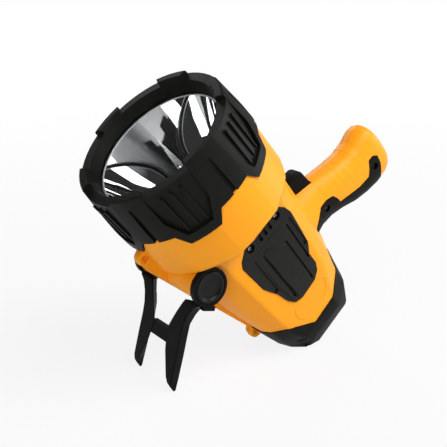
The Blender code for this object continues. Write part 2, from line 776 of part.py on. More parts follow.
trigger_back_x = trigger_shares[-1][0] * body_length
spring_z = spring_z_share * grip_height
spring_front_x = trigger_back_x + 2 * clearance
switch_front_x = trigger_back_x - trigger_travel - 4 * clearance


def build_trigger():
    body = side_mesh("trigger", trigger_outline(), -trigger_half_width, trigger_half_width)
    anchor = Vector((trigger_back_x, 0, spring_z))
    body.transform(Matrix.Translation(-anchor))
    trigger = keep("trigger", body, black_plastic, at=anchor)
    round_edges(trigger, trigger_round, segments=3)
    bore = rod_mesh("trigger_bore", spring_bore_radius, (trigger_back_x - overrun, 0, spring_z),
                    (trigger_back_x + trigger_travel + 3 * clearance, 0, spring_z), sides=24)
    cut(trigger, keep("trigger_bore", bore, cutter=True))

    curve = bpy.data.curves.new("trigger_spring", 'CURVE')
    curve.dimensions = '3D'
    curve.bevel_depth = spring_wire
    curve.bevel_resolution = 2
    curve.use_fill_caps = True
    steps = spring_turns * 10
    spline = curve.splines.new('POLY')
    spline.points.add(steps)
    length = spring_front_x - switch_front_x - 2 * (spring_wire + clearance)
    for i, point in enumerate(spline.points):
        turn = 2 * math.pi * spring_turns * i / steps
        x = switch_front_x + spring_wire + clearance + length * i / steps
        point.co = (x, spring_radius * math.cos(turn), spring_z + spring_radius * math.sin(turn), 1)
    thing = bpy.data.objects.new("trigger_spring", curve)
    cutters.objects.link(thing)
    keep("trigger_spring", baked_mesh("trigger_spring", thing), steel_finish)

    low = (switch_front_x - switch_depth, -switch_half_width, spring_z - switch_half_height)
    high = (switch_front_x, switch_half_width, spring_z + switch_half_height)
    switch = keep("switch", box_mesh("switch", low, high), black_plastic)
    round_edges(switch, clearance * 2, segments=1)
    return trigger


# Keel side view
def keel_outline():
    """A bar with a round front end, its lower edge running up into the hull just before the rear boss."""
    slope = math.atan2(keel_end_z - keel_front_z + keel_boss_radius, keel_front_x - keel_end_x)
    points = []
    for i in range(boss_segment_count + 1):
        turn = math.pi / 2 - math.pi * i / boss_segment_count - slope
        points.append((keel_front_x + keel_boss_radius * math.cos(turn),
                       keel_front_z + keel_boss_radius * math.sin(turn)))
    return points + [(keel_end_x, keel_end_z), (keel_end_x, keel_end_z + keel_boss_radius)]


# Stand: two round ears, two bowed legs and a crossbar
ear_radius = 0.0150
ear_thickness = 0.0046
ear_outer_share = 0.637
ear_outer_y = ear_outer_share * head_radius
ear_recess_radius = 0.0127
ear_recess_depth = 0.0020
hub_radius = 0.0125
pin_radius = 0.0045
pin_head_radius = 0.0122
pin_head_height = 0.0016
pin_dish_radius = 0.0108
pin_dish_depth = 0.0007
pin_depth = 0.0080
leg_round = 0.0012
leg_round_limit = math.radians(50)
crossbar_top_share = 0.485
crossbar_low_share = 0.605
crossbar_half_share = 0.14
crossbar_front_share = 0.075
crossbar_back_share = 0.014
tab_length = 0.0085
tab_start_share = 0.96
tab_thickness = 0.0034
tab_root = 0.0020

# Leg sections: place down the leg, then inner and outer Y at the front face and at the back face,
# all as shares of the leg length, and how far forward the two faces are
leg_shares = (
    (0.100, 0.406, 0.452, 0.406, 0.452, 0.050, -0.045),
    (0.148, 0.404, 0.455, 0.404, 0.450, 0.064, -0.045),
    (0.166, 0.248, 0.450, 0.335, 0.425, 0.076, -0.036),
    (0.210, 0.222, 0.385, 0.315, 0.370, 0.080, -0.028),
    (0.290, 0.181, 0.334, 0.284, 0.322, 0.083, -0.024),
    (0.380, 0.138, 0.306, 0.248, 0.284, 0.083, -0.022),
    (0.490, 0.089, 0.300, 0.240, 0.284, 0.080, -0.022),
    (0.670, 0.126, 0.306, 0.250, 0.289, 0.077, -0.022),
    (0.880, 0.208, 0.305, 0.258, 0.289, 0.075, -0.022),
    (0.925, 0.240, 0.290, 0.260, 0.287, 0.071, -0.022),
    (0.962, 0.254, 0.286, 0.260, 0.285, 0.040, -0.022),
    (1.000, 0.261, 0.284, 0.262, 0.283, 0.000, -0.022),
)

leg_down = Vector((-math.cos(leg_slope), 0, -math.sin(leg_slope)))
leg_front = Vector((math.sin(leg_slope), 0, -math.cos(leg_slope)))
pivot = Vector((pivot_x, 0, pivot_z))


def leg_length():
    """The leg ends on the floor, which the standing facet lies in."""
    facet = Vector((facet_front_x, 0, facet_front_z))
    drop = (pivot - facet).dot(floor_up)
    return drop / (-leg_down.dot(floor_up) + leg_front.dot(floor_up) * -leg_shares[-1][6])


def leg_point(down, y, forward):
    return leg_down * down + leg_front * forward + Vector((0, y, 0))


def leg_mesh(name, side):
    length = leg_length()
    rings = []
    for down, in_front, out_front, in_back, out_back, front, back in leg_shares:
        corners = ((in_front, front), (out_front, front), (out_back, back), (in_back, back))
        rings.append([leg_point(down * length, side * y * length, f * length) for y, f in corners])
    return loft_mesh(name, rings)


def build_stand():
    """The stand's own origin is on its fold axis."""
    length = leg_length()
    inner_y = ear_outer_y - ear_thickness
    ears = [rod_mesh("ear", ear_radius, (0, side * inner_y, 0), (0, side * ear_outer_y, 0), sides=40)
            for side in (1, -1)]
    legs = [leg_mesh("leg", side) for side in (1, -1)]
    bar_outline = [leg_point(share * length, 0, forward * length) for share, forward in
                   ((crossbar_top_share, crossbar_front_share), (crossbar_low_share, crossbar_front_share),
                    (crossbar_low_share, crossbar_back_share), (crossbar_top_share, crossbar_back_share))]
    half = crossbar_half_share * length
    rings = [[point + Vector((0, y, 0)) for point in bar_outline] for y in (-half, half)]
    bar = loft_mesh("crossbar", rings)

    stand = keep("stand", ears[0], black_plastic, at=pivot)
    pieces = [("stand_ear_right", ears[1]), ("stand_leg_left", legs[0]), ("stand_leg_right", legs[1]),
              ("stand_crossbar", bar)]
    leg_tools = []
    for name, mesh in pieces:
        tool = keep(name, mesh, at=pivot, cutter=True)
        if "leg" in name:
            round_edges(tool, leg_round, segments=1, limit=leg_round_limit)
        leg_tools.append(tool)
    for tool in (leg_tools[1], leg_tools[3], leg_tools[2], leg_tools[0]):
        cut(stand, tool, 'UNION')

    # Finger tab behind each ear
    tab_start = tab_start_share * ear_radius
    tab_end = tab_start + tab_thickness
    for side, label in ((1, "left"), (-1, "right")):
        low = min(side * inner_y, side * ear_outer_y)
        high = max(side * inner_y, side * ear_outer_y)
        tab_rings = [[leg_point(down, y, forward) for down, forward in
                      ((tab_start, tab_root), (tab_end, tab_root), (tab_end, -tab_length), (tab_start, -tab_length))]
                     for y in (low, high)]
        tab = keep("stand_tab_" + label, loft_mesh("stand_tab", tab_rings), at=pivot, cutter=True)
        cut(stand, tab, 'UNION')

        recess = rod_mesh("ear_recess", ear_recess_radius, (0, side * (ear_outer_y - ear_recess_depth), 0),
                          (0, side * (ear_outer_y + overrun), 0), sides=40)
        cut(stand, keep("ear_recess_" + label, recess, at=pivot, cutter=True))
        bore = rod_mesh("ear_bore", pin_radius + clearance, (0, side * (inner_y - overrun), 0),
                        (0, side * (ear_outer_y + overrun), 0), sides=32)
        cut(stand, keep("ear_bore_" + label, bore, at=pivot, cutter=True))
    return stand


def build_pins(halves):
    """Headed pins that fix each ear to a hub on the shell, and turn nothing themselves."""
    inner_y = ear_outer_y - ear_thickness
    seat_y = ear_outer_y - ear_recess_depth + clearance
    for side, label in ((1, "left"), (-1, "right")):
        head = rod_mesh("pin", pin_head_radius, (pivot_x, side * seat_y, pivot_z),
                        (pivot_x, side * (seat_y + pin_head_height), pivot_z), sides=40)
        pin = keep("stand_pin_" + label, head, black_plastic)
        shaft = rod_mesh("pin_shaft", pin_radius, (pivot_x, side * (inner_y - pin_depth), pivot_z),
                         (pivot_x, side * (seat_y + pin_head_height / 2), pivot_z), sides=32)
        cut(pin, keep("pin_shaft_" + label, shaft, cutter=True), 'UNION')
        top = seat_y + pin_head_height
        dish = rod_mesh("pin_dish", pin_dish_radius - pin_dish_depth, (pivot_x, side * (top - pin_dish_depth), pivot_z),
                        (pivot_x, side * (top + pin_dish_depth), pivot_z), sides=40,
                        end_radius=pin_dish_radius + pin_dish_depth)
        cut(pin, keep("pin_dish_" + label, dish, cutter=True))
        bore = rod_mesh("pin_bore", pin_radius + clearance,
                        (pivot_x, side * (inner_y - pin_depth - clearance), pivot_z),
                        (pivot_x, side * (inner_y + overrun), pivot_z), sides=32)
        cut(halves[label], keep("pin_bore_" + label, bore, cutter=True))


# Vent cover: a screwed plate let into each side of the hull
vent_shares = ((-0.403, 0.170), (-0.438, 0.209), (-0.472, 0.223), (-0.612, 0.195), (-0.650, 0.158),
               (-0.698, 0.157), (-0.726, 0.136), (-0.744, 0.091), (-0.748, -0.029), (-0.736, -0.075),
               (-0.703, -0.102), (-0.650, -0.118), (-0.585, -0.159), (-0.461, -0.169), (-0.440, -0.151),
               (-0.415, -0.099), (-0.403, -0.050))
step_shares = ((-0.478, 0.150), (-0.700, 0.122), (-0.728, 0.085), (-0.736, -0.045), (-0.722, -0.078),
               (-0.620, -0.092), (-0.478, -0.080), (-0.466, -0.060), (-0.466, 0.130))
ridge_shares = ((-0.531, 0.089), (-0.722, 0.074), (-0.727, -0.046), (-0.487, -0.038), (-0.483, -0.010))
groove_shares = (((-0.478, 0.187), (-0.606, 0.179)), ((-0.480, -0.107), (-0.636, -0.115)))
vent_slot_shares = ((-0.420, 0.084), (-0.420, 0.045), (-0.420, 0.006))
vent_screw_shares = ((-0.431, 0.145), (-0.432, -0.069))
vent_recess_depth = 0.0017
vent_proud = 0.0010
vent_round = 0.0005
step_height = 0.0007
ridge_height = 0.0016
groove_width = 0.0040
groove_depth = 0.0012
vent_slot_length = 0.0070
vent_slot_width = 0.0028
vent_window_margin = 0.0020


def scaled(shares):
    return [(x * body_length, z * grip_height) for x, z in shares]


def bar_outline(start, end, width):
    """Outline of a straight bar between two side-view points."""
    start, end = np.array(start), np.array(end)
    along = (end - start) / np.linalg.norm(end - start)
    across = np.array((-along[1], along[0])) * width / 2
    return [tuple(p) for p in (start - across, end - across, end + across, start + across)]


def build_vent(side, label, half):
    face = body_half_width + vent_proud
    floor = body_half_width - vent_recess_depth

    def slab(name, outline, low, high):
        low, high = sorted((side * low, side * high))
        return side_mesh(name, outline, low, high)

    cover = keep("vent_cover_" + label, slab("vent_cover", scaled(vent_shares), floor + clearance, face),
                 black_plastic)
    round_edges(cover, vent_round, segments=1)
    for name, outline, height in (("vent_step_", step_shares, step_height), ("vent_ridge_", ridge_shares, ridge_height)):
        raised = keep(name + label, slab("vent_raised", scaled(outline), floor + 2 * clearance, face + height),
                      cutter=True)
        round_edges(raised, vent_round, segments=1)
        cut(cover, raised, 'UNION')
    for i, (start, end) in enumerate(groove_shares):
        outline = bar_outline(*scaled((start, end)), groove_width)
        groove = slab("vent_groove", outline, face - groove_depth, face + overrun)
        cut(cover, keep("vent_groove_%s_%d" % (label, i + 1), groove, cutter=True))
    for i, place in enumerate(scaled(vent_slot_shares)):
        end = (place[0] - vent_slot_length, place[1])
        slot = slab("vent_slot", bar_outline(place, end, vent_slot_width), floor - clearance, face + overrun)
        cut(cover, keep("vent_slot_%s_%d" % (label, i + 1), slot, cutter=True))

    seat = slab("vent_seat", grown(scaled(vent_shares), clearance), floor, face + overrun)
    cut(half, keep("vent_seat_" + label, seat, cutter=True))

    # The shell is open behind the slots
    front_x, top_z = scaled(vent_slot_shares)[0]
    low_z = scaled(vent_slot_shares)[-1][1]
    low_y, high_y = sorted((side * (floor - shell_wall - overrun / 2), side * face))
    window = box_mesh("vent_window", (front_x - vent_slot_length, low_y, low_z - vent_window_margin),
                      (front_x, high_y, top_z + vent_window_margin))
    cut(half, keep("vent_window_" + label, window, cutter=True))
    for (x, z), end in zip(scaled(vent_screw_shares), ("upper", "lower")):
        place_screw("vent_screw_%s_%s" % (end, label), x, side * (face - groove_depth / 2), z, side, (cover,))
        bore = rod_mesh("vent_screw_hole", screw_shank_radius + clearance,
                        (x, side * (floor - overrun), z), (x, side * face, z), sides=10)
        cut(half, keep("vent_screw_hole_%s_%s" % (end, label), bore, cutter=True))


# Ribs and lip inside the shell halves
lip_depth = 0.0040
lip_inner_radius = 0.0545
rib_inset = 0.0140
cradle_rib_half = 0.0140

# Power: a cradle with four cells, and the driver board
cell_radius = 0.0092
cell_length = 0.0650
cell_pitch = 0.0202
cradle_front_share = 0.449
cradle_front_x = -cradle_front_share * body_length
cradle_wall = 0.0025
cradle_z = -0.0010
driver_half_height = 0.0180
driver_half_width = 0.0200
driver_thickness = 0.0016
coil_radius = 0.0060
coil_height = 0.0060


def cell_places():
    half = cell_pitch / 2
    return [(y, cradle_z + z) for z in (half, -half) for y in (half, -half)]


def build_power():
    half = cell_pitch / 2 + cell_radius + cradle_wall
    front, rear = cradle_front_x, cradle_front_x - cell_length - 2 * cradle_wall
    cradle = keep("battery_cradle", box_mesh("battery_cradle", (rear, -half, cradle_z - half),
                                             (front, half, cradle_z + half)), black_plastic)
    round_edges(cradle, cradle_wall, segments=2)
    bores = []
    for i, (y, z) in enumerate(cell_places()):
        start, end = front - cradle_wall, front - cradle_wall - cell_length
        cell = rod_mesh("battery_cell", cell_radius, (end, y, z), (start, y, z), sides=28)
        keep("battery_cell_" + str(i + 1), cell, cell_finish)
        bores.append(rod_mesh("cell_bore", cell_radius + clearance, (end - clearance, y, z),
                              (front + overrun, y, z), sides=28))
    cut(cradle, keep("cell_bores", joined_mesh("cell_bores", bores), cutter=True))

    board_back_x = front + clearance
    board = keep("driver_board", box_mesh("driver_board", (board_back_x, -driver_half_width, -driver_half_height),
                                          (board_back_x + driver_thickness, driver_half_width,
                                           driver_half_height)), board_finish)
    coil = rod_mesh("driver_coil", coil_radius, (board_back_x + driver_thickness / 2, 0, 0),
                    (board_back_x + driver_thickness + coil_height, 0, 0), sides=24)
    cut(board, keep("driver_coil", coil, cutter=True), 'UNION')


def build_halves():
    """Left and right shell halves, hollow, parted on the middle plane."""
    rear_x = -body_length + cap_wall
    neck_radius = bezel_bore_radius - clearance
    region = cap_region("cap_gap", clearance / 2)
    cap_gap = keep("cap_gap", region, cutter=True)
    cut(cap_gap, keep("cap_gap_notch", cap_notch("cap_gap_notch", -clearance / 2), cutter=True))
    inside = keep("hull_inside", hull_mesh("hull_inside", overrun, rear_x, -shell_wall,
                                           circle=neck_radius, stops=inner_stops), cutter=True)
    grip_hollow = keep("grip_hollow", grip_mesh("grip_hollow", -grip_wall, foot_share=foot_short_share), cutter=True)

    band = [(overrun, 0), (overrun, head_radius + overrun),
            (-bezel_length - clearance, head_radius + overrun),
            (-bezel_length - clearance, neck_radius), (neck_front_x, neck_radius), (neck_front_x, 0)]
    neck = keep("neck_cut", turned_mesh("neck_cut", band, False), cutter=True)
    gaps = around(lambda name: tooth_gap_mesh(name, clearance), "neck_gaps", math.pi / panel_count)
    cut(neck, keep("neck_gaps", gaps, cutter=True))

    # A lip behind the reflector flange, and ribs that hold the cradle and the switch
    lip_outer = neck_radius - shell_wall / 2
    lip_profile = [(neck_front_x + overrun, lip_outer), (neck_front_x - lip_depth, lip_outer),
                   (neck_front_x - lip_depth, lip_inner_radius), (neck_front_x + overrun, lip_inner_radius)]
    lip = keep("neck_lip", turned_mesh("neck_lip", lip_profile, True), cutter=True)
    cradle_side = cell_pitch / 2 + cell_radius + cradle_wall + clearance
    wall_y = body_half_width - shell_wall / 2
    seat_boxes = []
    for side in (1, -1):
        for x in (cradle_front_x - rib_inset, cradle_front_x - cell_length + rib_inset):
            low, high = sorted((side * cradle_side, side * wall_y))
            seat_boxes.append(box_mesh("cradle_rib", (x - shell_wall / 2, low, cradle_z - cradle_rib_half),
                                       (x + shell_wall / 2, high, cradle_z + cradle_rib_half)))
        low, high = sorted((side * (switch_half_width + clearance),
                            side * (grip_width_shares[2] * grip_depth - grip_wall / 2)))
        x = switch_front_x - switch_depth / 2
        seat_boxes.append(box_mesh("switch_rib", (x - shell_wall / 2, low, spring_z - switch_half_height),
                                   (x + shell_wall / 2, high, spring_z + switch_half_height)))
    seats = keep("inner_ribs", joined_mesh("inner_ribs", seat_boxes), cutter=True)

    # Strap recess: the region between a slightly larger and a slightly smaller grip
    recess = keep("strap_recess", side_mesh("strap_recess", grown(strap_outline(), clearance),
                                            -head_radius, head_radius), cutter=True)
    core = keep("strap_core", grip_mesh("strap_core", -strap_thickness - clearance), cutter=True)
    shell = keep("strap_shell", grip_mesh("strap_shell", strap_proud + clearance), cutter=True)
    cut(recess, shell, 'INTERSECT')
    cut(recess, core)

    slide = [(x - trigger_travel if x < trigger_back_x + clearance else x, z) for x, z in trigger_outline()]
    reach = trigger_half_width + clearance
    opening = keep("trigger_opening", side_mesh("trigger_opening", grown(slide, clearance), -reach, reach),
                   cutter=True)

    halves = {}
    for side, label in ((1, "left"), (-1, "right")):
        half = keep("housing_" + label, hull_mesh("housing_" + label, 0, -body_length, 0), orange_shell)
        grip = keep("grip_" + label, grip_mesh("grip_" + label, 0), cutter=True)
        cut(half, grip, 'UNION', solver='MANIFOLD')
        keel = side_mesh("keel_" + label, keel_outline(), -keel_half_width, keel_half_width)
        cut(half, keep("keel_" + label, keel, cutter=True), 'UNION', solver='MANIFOLD')
        boss = rod_mesh("rear_boss_" + label, keel_boss_radius, (keel_rear_x, -keel_half_width, keel_rear_z),
                        (keel_rear_x, keel_half_width, keel_rear_z), sides=24)
        cut(half, keep("rear_boss_" + label, boss, cutter=True), 'UNION', solver='MANIFOLD')
        inner_y = ear_outer_y - ear_thickness - clearance
        hub = rod_mesh("hub_" + label, hub_radius, (pivot_x, 0, pivot_z), (pivot_x, side * inner_y, pivot_z),
                       sides=40)
        cut(half, keep("hub_" + label, hub, cutter=True), 'UNION', solver='MANIFOLD')
        pocket = rod_mesh("ear_pocket_" + label, ear_radius + 2 * clearance, (pivot_x, side * inner_y, pivot_z),
                          (pivot_x, side * (ear_outer_y + overrun), pivot_z), sides=40)
        cut(half, keep("ear_pocket_" + label, pocket, cutter=True), solver='MANIFOLD')
        cut(half, inside, solver='MANIFOLD')
        cut(half, grip_hollow, solver='MANIFOLD')
        cut(half, lip, 'UNION', solver='MANIFOLD')
        cut(half, seats, 'UNION', solver='MANIFOLD')
        cut(half, neck, solver='MANIFOLD')
        cut(half, cap_gap, solver='MANIFOLD')
        cut(half, recess, solver='MANIFOLD')
        cut(half, opening, solver='MANIFOLD')
        low, high = sorted((side * clearance / 2, side * 2 * head_radius))
        keep_box = box_mesh("keep_" + label, (-2 * body_length, low, -2 * body_length),
                            (body_length, high, 2 * body_length))
        cut(half, keep("keep_" + label, keep_box, cutter=True), 'INTERSECT', solver='MANIFOLD')
        weld(half)
        halves[label] = half
    return halves


def build_screws(halves, strap):
    for (x, z), end in zip(scaled(strap_screw_shares), ("lower", "upper")):
        place_screw("grip_screw_" + end, x, grip_depth * strap_screw_share, z, 1, (strap, halves["left"]))
    for x, z, end in ((keel_front_x, keel_front_z, "front"), (keel_rear_x, keel_rear_z, "rear")):
        place_screw("keel_screw_" + end, x, -keel_half_width + clearance, z, -1,
                    (halves["left"], halves["right"]), keel_shank_length)
        dimple = rod_mesh("keel_dimple_" + end, keel_dimple_radius, (x, keel_half_width - keel_dimple_depth, z),
                          (x, keel_half_width + overrun, z), sides=16)
        cut(halves["left"], keep("keel_dimple_" + end, dimple, cutter=True))


def set_down():
    """Tip the lamp onto its feet and cap, and centre it over the origin."""
    pose.rotation_euler = (0, -standing_tilt, 0)
    bpy.context.view_layer.update()
    graph = bpy.context.evaluated_depsgraph_get()
    low = Vector((math.inf,) * 3)
    high = Vector((-math.inf,) * 3)
    for thing in parts.objects:
        if thing.type != 'MESH':
            continue
        ready = thing.evaluated_get(graph)
        for vertex in ready.data.vertices:
            spot = ready.matrix_world @ vertex.co
            low = Vector(map(min, low, spot))
            high = Vector(map(max, high, spot))
    pose.location = (-(low.x + high.x) / 2, -(low.y + high.y) / 2, -low.z)
    bpy.context.view_layer.update()
    print("size", [round(v, 5) for v in high - low])
    print("pivot", [round(v, 5) for v in pose.matrix_world @ pivot])
    print("slide way", [round(v, 5) for v in pose.matrix_world.to_3x3() @ Vector((-1, 0, 0))])


halves = build_halves()
build_bezel()
build_optics()
build_cap()
strap = build_strap()
build_trigger()
build_stand()
build_pins(halves)
for side, label in ((1, "left"), (-1, "right")):
    build_vent(side, label, halves[label])
build_power()
build_screws(halves, strap)
set_down()
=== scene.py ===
import json
import math

import bmesh
import bpy
import numpy as np
from mathutils import Matrix, Vector
from mathutils.bvhtree import BVHTree

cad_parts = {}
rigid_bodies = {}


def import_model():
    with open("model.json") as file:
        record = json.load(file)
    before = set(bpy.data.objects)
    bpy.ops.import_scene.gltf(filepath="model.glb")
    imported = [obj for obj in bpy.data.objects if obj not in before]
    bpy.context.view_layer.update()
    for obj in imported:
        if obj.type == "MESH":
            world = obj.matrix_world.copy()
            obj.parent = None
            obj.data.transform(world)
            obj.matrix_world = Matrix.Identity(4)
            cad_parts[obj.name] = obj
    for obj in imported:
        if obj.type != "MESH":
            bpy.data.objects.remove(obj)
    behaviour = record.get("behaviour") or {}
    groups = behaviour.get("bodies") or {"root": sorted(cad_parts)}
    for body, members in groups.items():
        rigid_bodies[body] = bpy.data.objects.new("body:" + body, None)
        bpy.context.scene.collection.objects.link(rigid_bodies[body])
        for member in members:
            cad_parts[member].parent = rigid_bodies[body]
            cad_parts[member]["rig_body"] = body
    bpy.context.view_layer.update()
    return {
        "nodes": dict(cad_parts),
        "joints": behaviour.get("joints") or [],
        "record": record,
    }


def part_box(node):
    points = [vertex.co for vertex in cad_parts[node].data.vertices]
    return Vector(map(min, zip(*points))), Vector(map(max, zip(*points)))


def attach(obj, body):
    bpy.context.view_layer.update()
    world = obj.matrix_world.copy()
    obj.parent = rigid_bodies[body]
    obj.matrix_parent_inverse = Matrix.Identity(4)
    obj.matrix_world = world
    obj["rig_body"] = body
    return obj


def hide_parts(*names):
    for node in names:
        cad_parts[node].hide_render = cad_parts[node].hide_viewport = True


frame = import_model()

print("frame loaded,", len(frame["nodes"]), "nodes")

# The lamp's own axes: +X along the beam, +Y its left side, +Z the grip.
# The trigger slides along -X there, and the stand folds about a known place.
lamp = {
    "pivotX": -0.0953,
    "pivotZ": -0.0533,
}
joints = {joint["name"]: joint for joint in frame["joints"]}
back = Vector(joints["trigger_slide"]["axis"]).normalized()
lampTurn = Matrix(((-back.x, 0, back.z), (0, 1, 0), (-back.z, 0, -back.x)))
pivotPlace = Vector(joints["stand_fold"]["pos_m"])
lampOrigin = pivotPlace - lampTurn @ Vector((lamp["pivotX"], 0, lamp["pivotZ"]))
turnArray = np.array(lampTurn)
originArray = np.array(lampOrigin)


# Points in the lamp's axes, placed in the frame: turn times point, plus origin.
def toWorld(points):
    return np.asarray(points) @ turnArray.T + originArray


# And back: point less origin, times turn.
def toLamp(points):
    return (np.asarray(points) - originArray) @ turnArray


# Camera: solved from the round bezel, drum and ears of the photo, in the lamp's axes
lens = {
    "place": (0.2884, 0.4694, -0.1386),
    "right": (-0.5182, 0.6051, 0.6044),
    "down": (-0.5861, 0.2634, -0.7662),
    "forward": (-0.6228, -0.7513, 0.2181),
    "length": 64.71,
    "sensor": 36.0,
    "clipStart": 0.01,
}


# Shader groups
def newGroup(name, inputs, outputs):
    group = bpy.data.node_groups.new(name, "ShaderNodeTree")
    for label, kind, value in inputs:
        socket = group.interface.new_socket(label, in_out="INPUT", socket_type="NodeSocket" + kind)
        if value is not None:
            socket.default_value = value
    for label, kind in outputs:
        group.interface.new_socket(label, in_out="OUTPUT", socket_type="NodeSocket" + kind)
    return group, group.nodes.new("NodeGroupInput"), group.nodes.new("NodeGroupOutput")


def addNode(tree, kind, **settings):
    node = tree.nodes.new(kind)
    for name, value in settings.items():
        setattr(node, name, value)
    return node


def addNoise(tree, vector, scale, detail, roughness):
    noise = addNode(tree, "ShaderNodeTexNoise")
    noise.inputs["Detail"].default_value = detail
    noise.inputs["Roughness"].default_value = roughness
    tree.links.new(vector, noise.inputs["Vector"])
    if isinstance(scale, (int, float)):
        noise.inputs["Scale"].default_value = scale
    else:
        tree.links.new(scale, noise.inputs["Scale"])
    return noise.outputs["Fac"]


def addMath(tree, operation, first, second):
    node = addNode(tree, "ShaderNodeMath", operation=operation)
    for socket, value in zip(node.inputs, (first, second)):
        if isinstance(value, (int, float)):
            socket.default_value = value
        else:
            tree.links.new(value, socket)
    return node.outputs[0]


def addRange(tree, value, low, high, newLow=0.0, newHigh=1.0):
    node = addNode(tree, "ShaderNodeMapRange")
    tree.links.new(value, node.inputs["Value"])
    for label, number in (("From Min", low), ("From Max", high), ("To Min", newLow), ("To Max", newHigh)):
        node.inputs[label].default_value = number
    return node.outputs["Result"]


def addMix(tree, factor, first, second):
    node = addNode(tree, "ShaderNodeMix", data_type="RGBA")
    tree.links.new(factor, node.inputs["Factor"])
    for socket, value in ((node.inputs[6], first), (node.inputs[7], second)):
        if isinstance(value, tuple):
            socket.default_value = value
        else:
            tree.links.new(value, socket)
    return node.outputs[2]


# Moulded skin: the colour drifts slowly, handling changes the gloss, and a fine grain stands up.
# Each noise has its scale, detail and roughness, and the grain's scale comes from the finish.
skinNoise = {
    "slow": (11.0, 2.0, 0.5),
    "slowRange": (0.32, 0.68),
    "handled": (55.0, 4.0, 0.6),
    "grain": (2.0, 0.55),
    "speck": (620.0, 3.0, 0.7),
    "speckRange": (0.62, 0.78),
    "dustColor": (0.35, 0.34, 0.32, 1.0),
}
skinGroup, skinIn, skinOut = newGroup(
    "mouldedSkin",
    (("Vector", "Vector", None), ("Color", "Color", (1, 1, 1, 1)), ("Deep Color", "Color", (1, 1, 1, 1)),
     ("Drift", "Float", 0.5), ("Rough", "Float", 0.5), ("Rough Spread", "Float", 0.1),
     ("Grain Scale", "Float", 1500.0), ("Dust", "Float", 0.0)),
    (("Color", "Color"), ("Roughness", "Float"), ("Height", "Float")))
place = skinIn.outputs["Vector"]
slow = addNoise(skinGroup, place, *skinNoise["slow"])
slowPatches = addRange(skinGroup, slow, *skinNoise["slowRange"])
slowMask = addMath(skinGroup, "MULTIPLY", slowPatches, skinIn.outputs["Drift"])
handled = addNoise(skinGroup, place, *skinNoise["handled"])
handledSwing = addMath(skinGroup, "SUBTRACT", handled, 0.5)
spread = addMath(skinGroup, "MULTIPLY", handledSwing, skinIn.outputs["Rough Spread"])
grain = addNoise(skinGroup, place, skinIn.outputs["Grain Scale"], *skinNoise["grain"])
speck = addNoise(skinGroup, place, *skinNoise["speck"])
specks = addRange(skinGroup, speck, *skinNoise["speckRange"])
dustMask = addMath(skinGroup, "MULTIPLY", specks, skinIn.outputs["Dust"])
tinted = addMix(skinGroup, slowMask, skinIn.outputs["Color"], skinIn.outputs["Deep Color"])
dusted = addMix(skinGroup, dustMask, tinted, skinNoise["dustColor"])
roughness = addMath(skinGroup, "ADD", spread, skinIn.outputs["Rough"])
skinGroup.links.new(dusted, skinOut.inputs["Color"])
skinGroup.links.new(roughness, skinOut.inputs["Roughness"])
skinGroup.links.new(grain, skinOut.inputs["Height"])


def newFinish(name, finish):
    material = bpy.data.materials.new(name)
    material.use_nodes = True
    tree = material.node_tree
    shader = tree.nodes["Principled BSDF"]
    place = addNode(tree, "ShaderNodeTexCoord")
    skin = addNode(tree, "ShaderNodeGroup", node_tree=skinGroup)
    tree.links.new(place.outputs["Object"], skin.inputs["Vector"])
    skin.inputs["Color"].default_value = (*finish["color"], 1)
    skin.inputs["Deep Color"].default_value = (*finish["deepColor"], 1)
    for label, key in (("Drift", "drift"), ("Rough", "rough"), ("Rough Spread", "roughSpread"),
                       ("Grain Scale", "grainScale"), ("Dust", "dust")):
        skin.inputs[label].default_value = finish[key]
    bump = addNode(tree, "ShaderNodeBump")
    bump.inputs["Strength"].default_value = finish["grainStrength"]
    bump.inputs["Distance"].default_value = finish["grainDepth"]
    tree.links.new(skin.outputs["Height"], bump.inputs["Height"])
    tree.links.new(skin.outputs["Color"], shader.inputs["Base Color"])
    tree.links.new(skin.outputs["Roughness"], shader.inputs["Roughness"])
    tree.links.new(bump.outputs["Normal"], shader.inputs["Normal"])
    shader.inputs["Metallic"].default_value = finish.get("metallic", 0.0)
    shader.inputs["Specular IOR Level"].default_value = finish.get("specular", 0.5)
    shader.inputs["Coat Weight"].default_value = finish.get("coat", 0.0)
    shader.inputs["Transmission Weight"].default_value = finish.get("transmission", 0.0)
    shader.inputs["IOR"].default_value = finish.get("ior", 1.5)
    return material


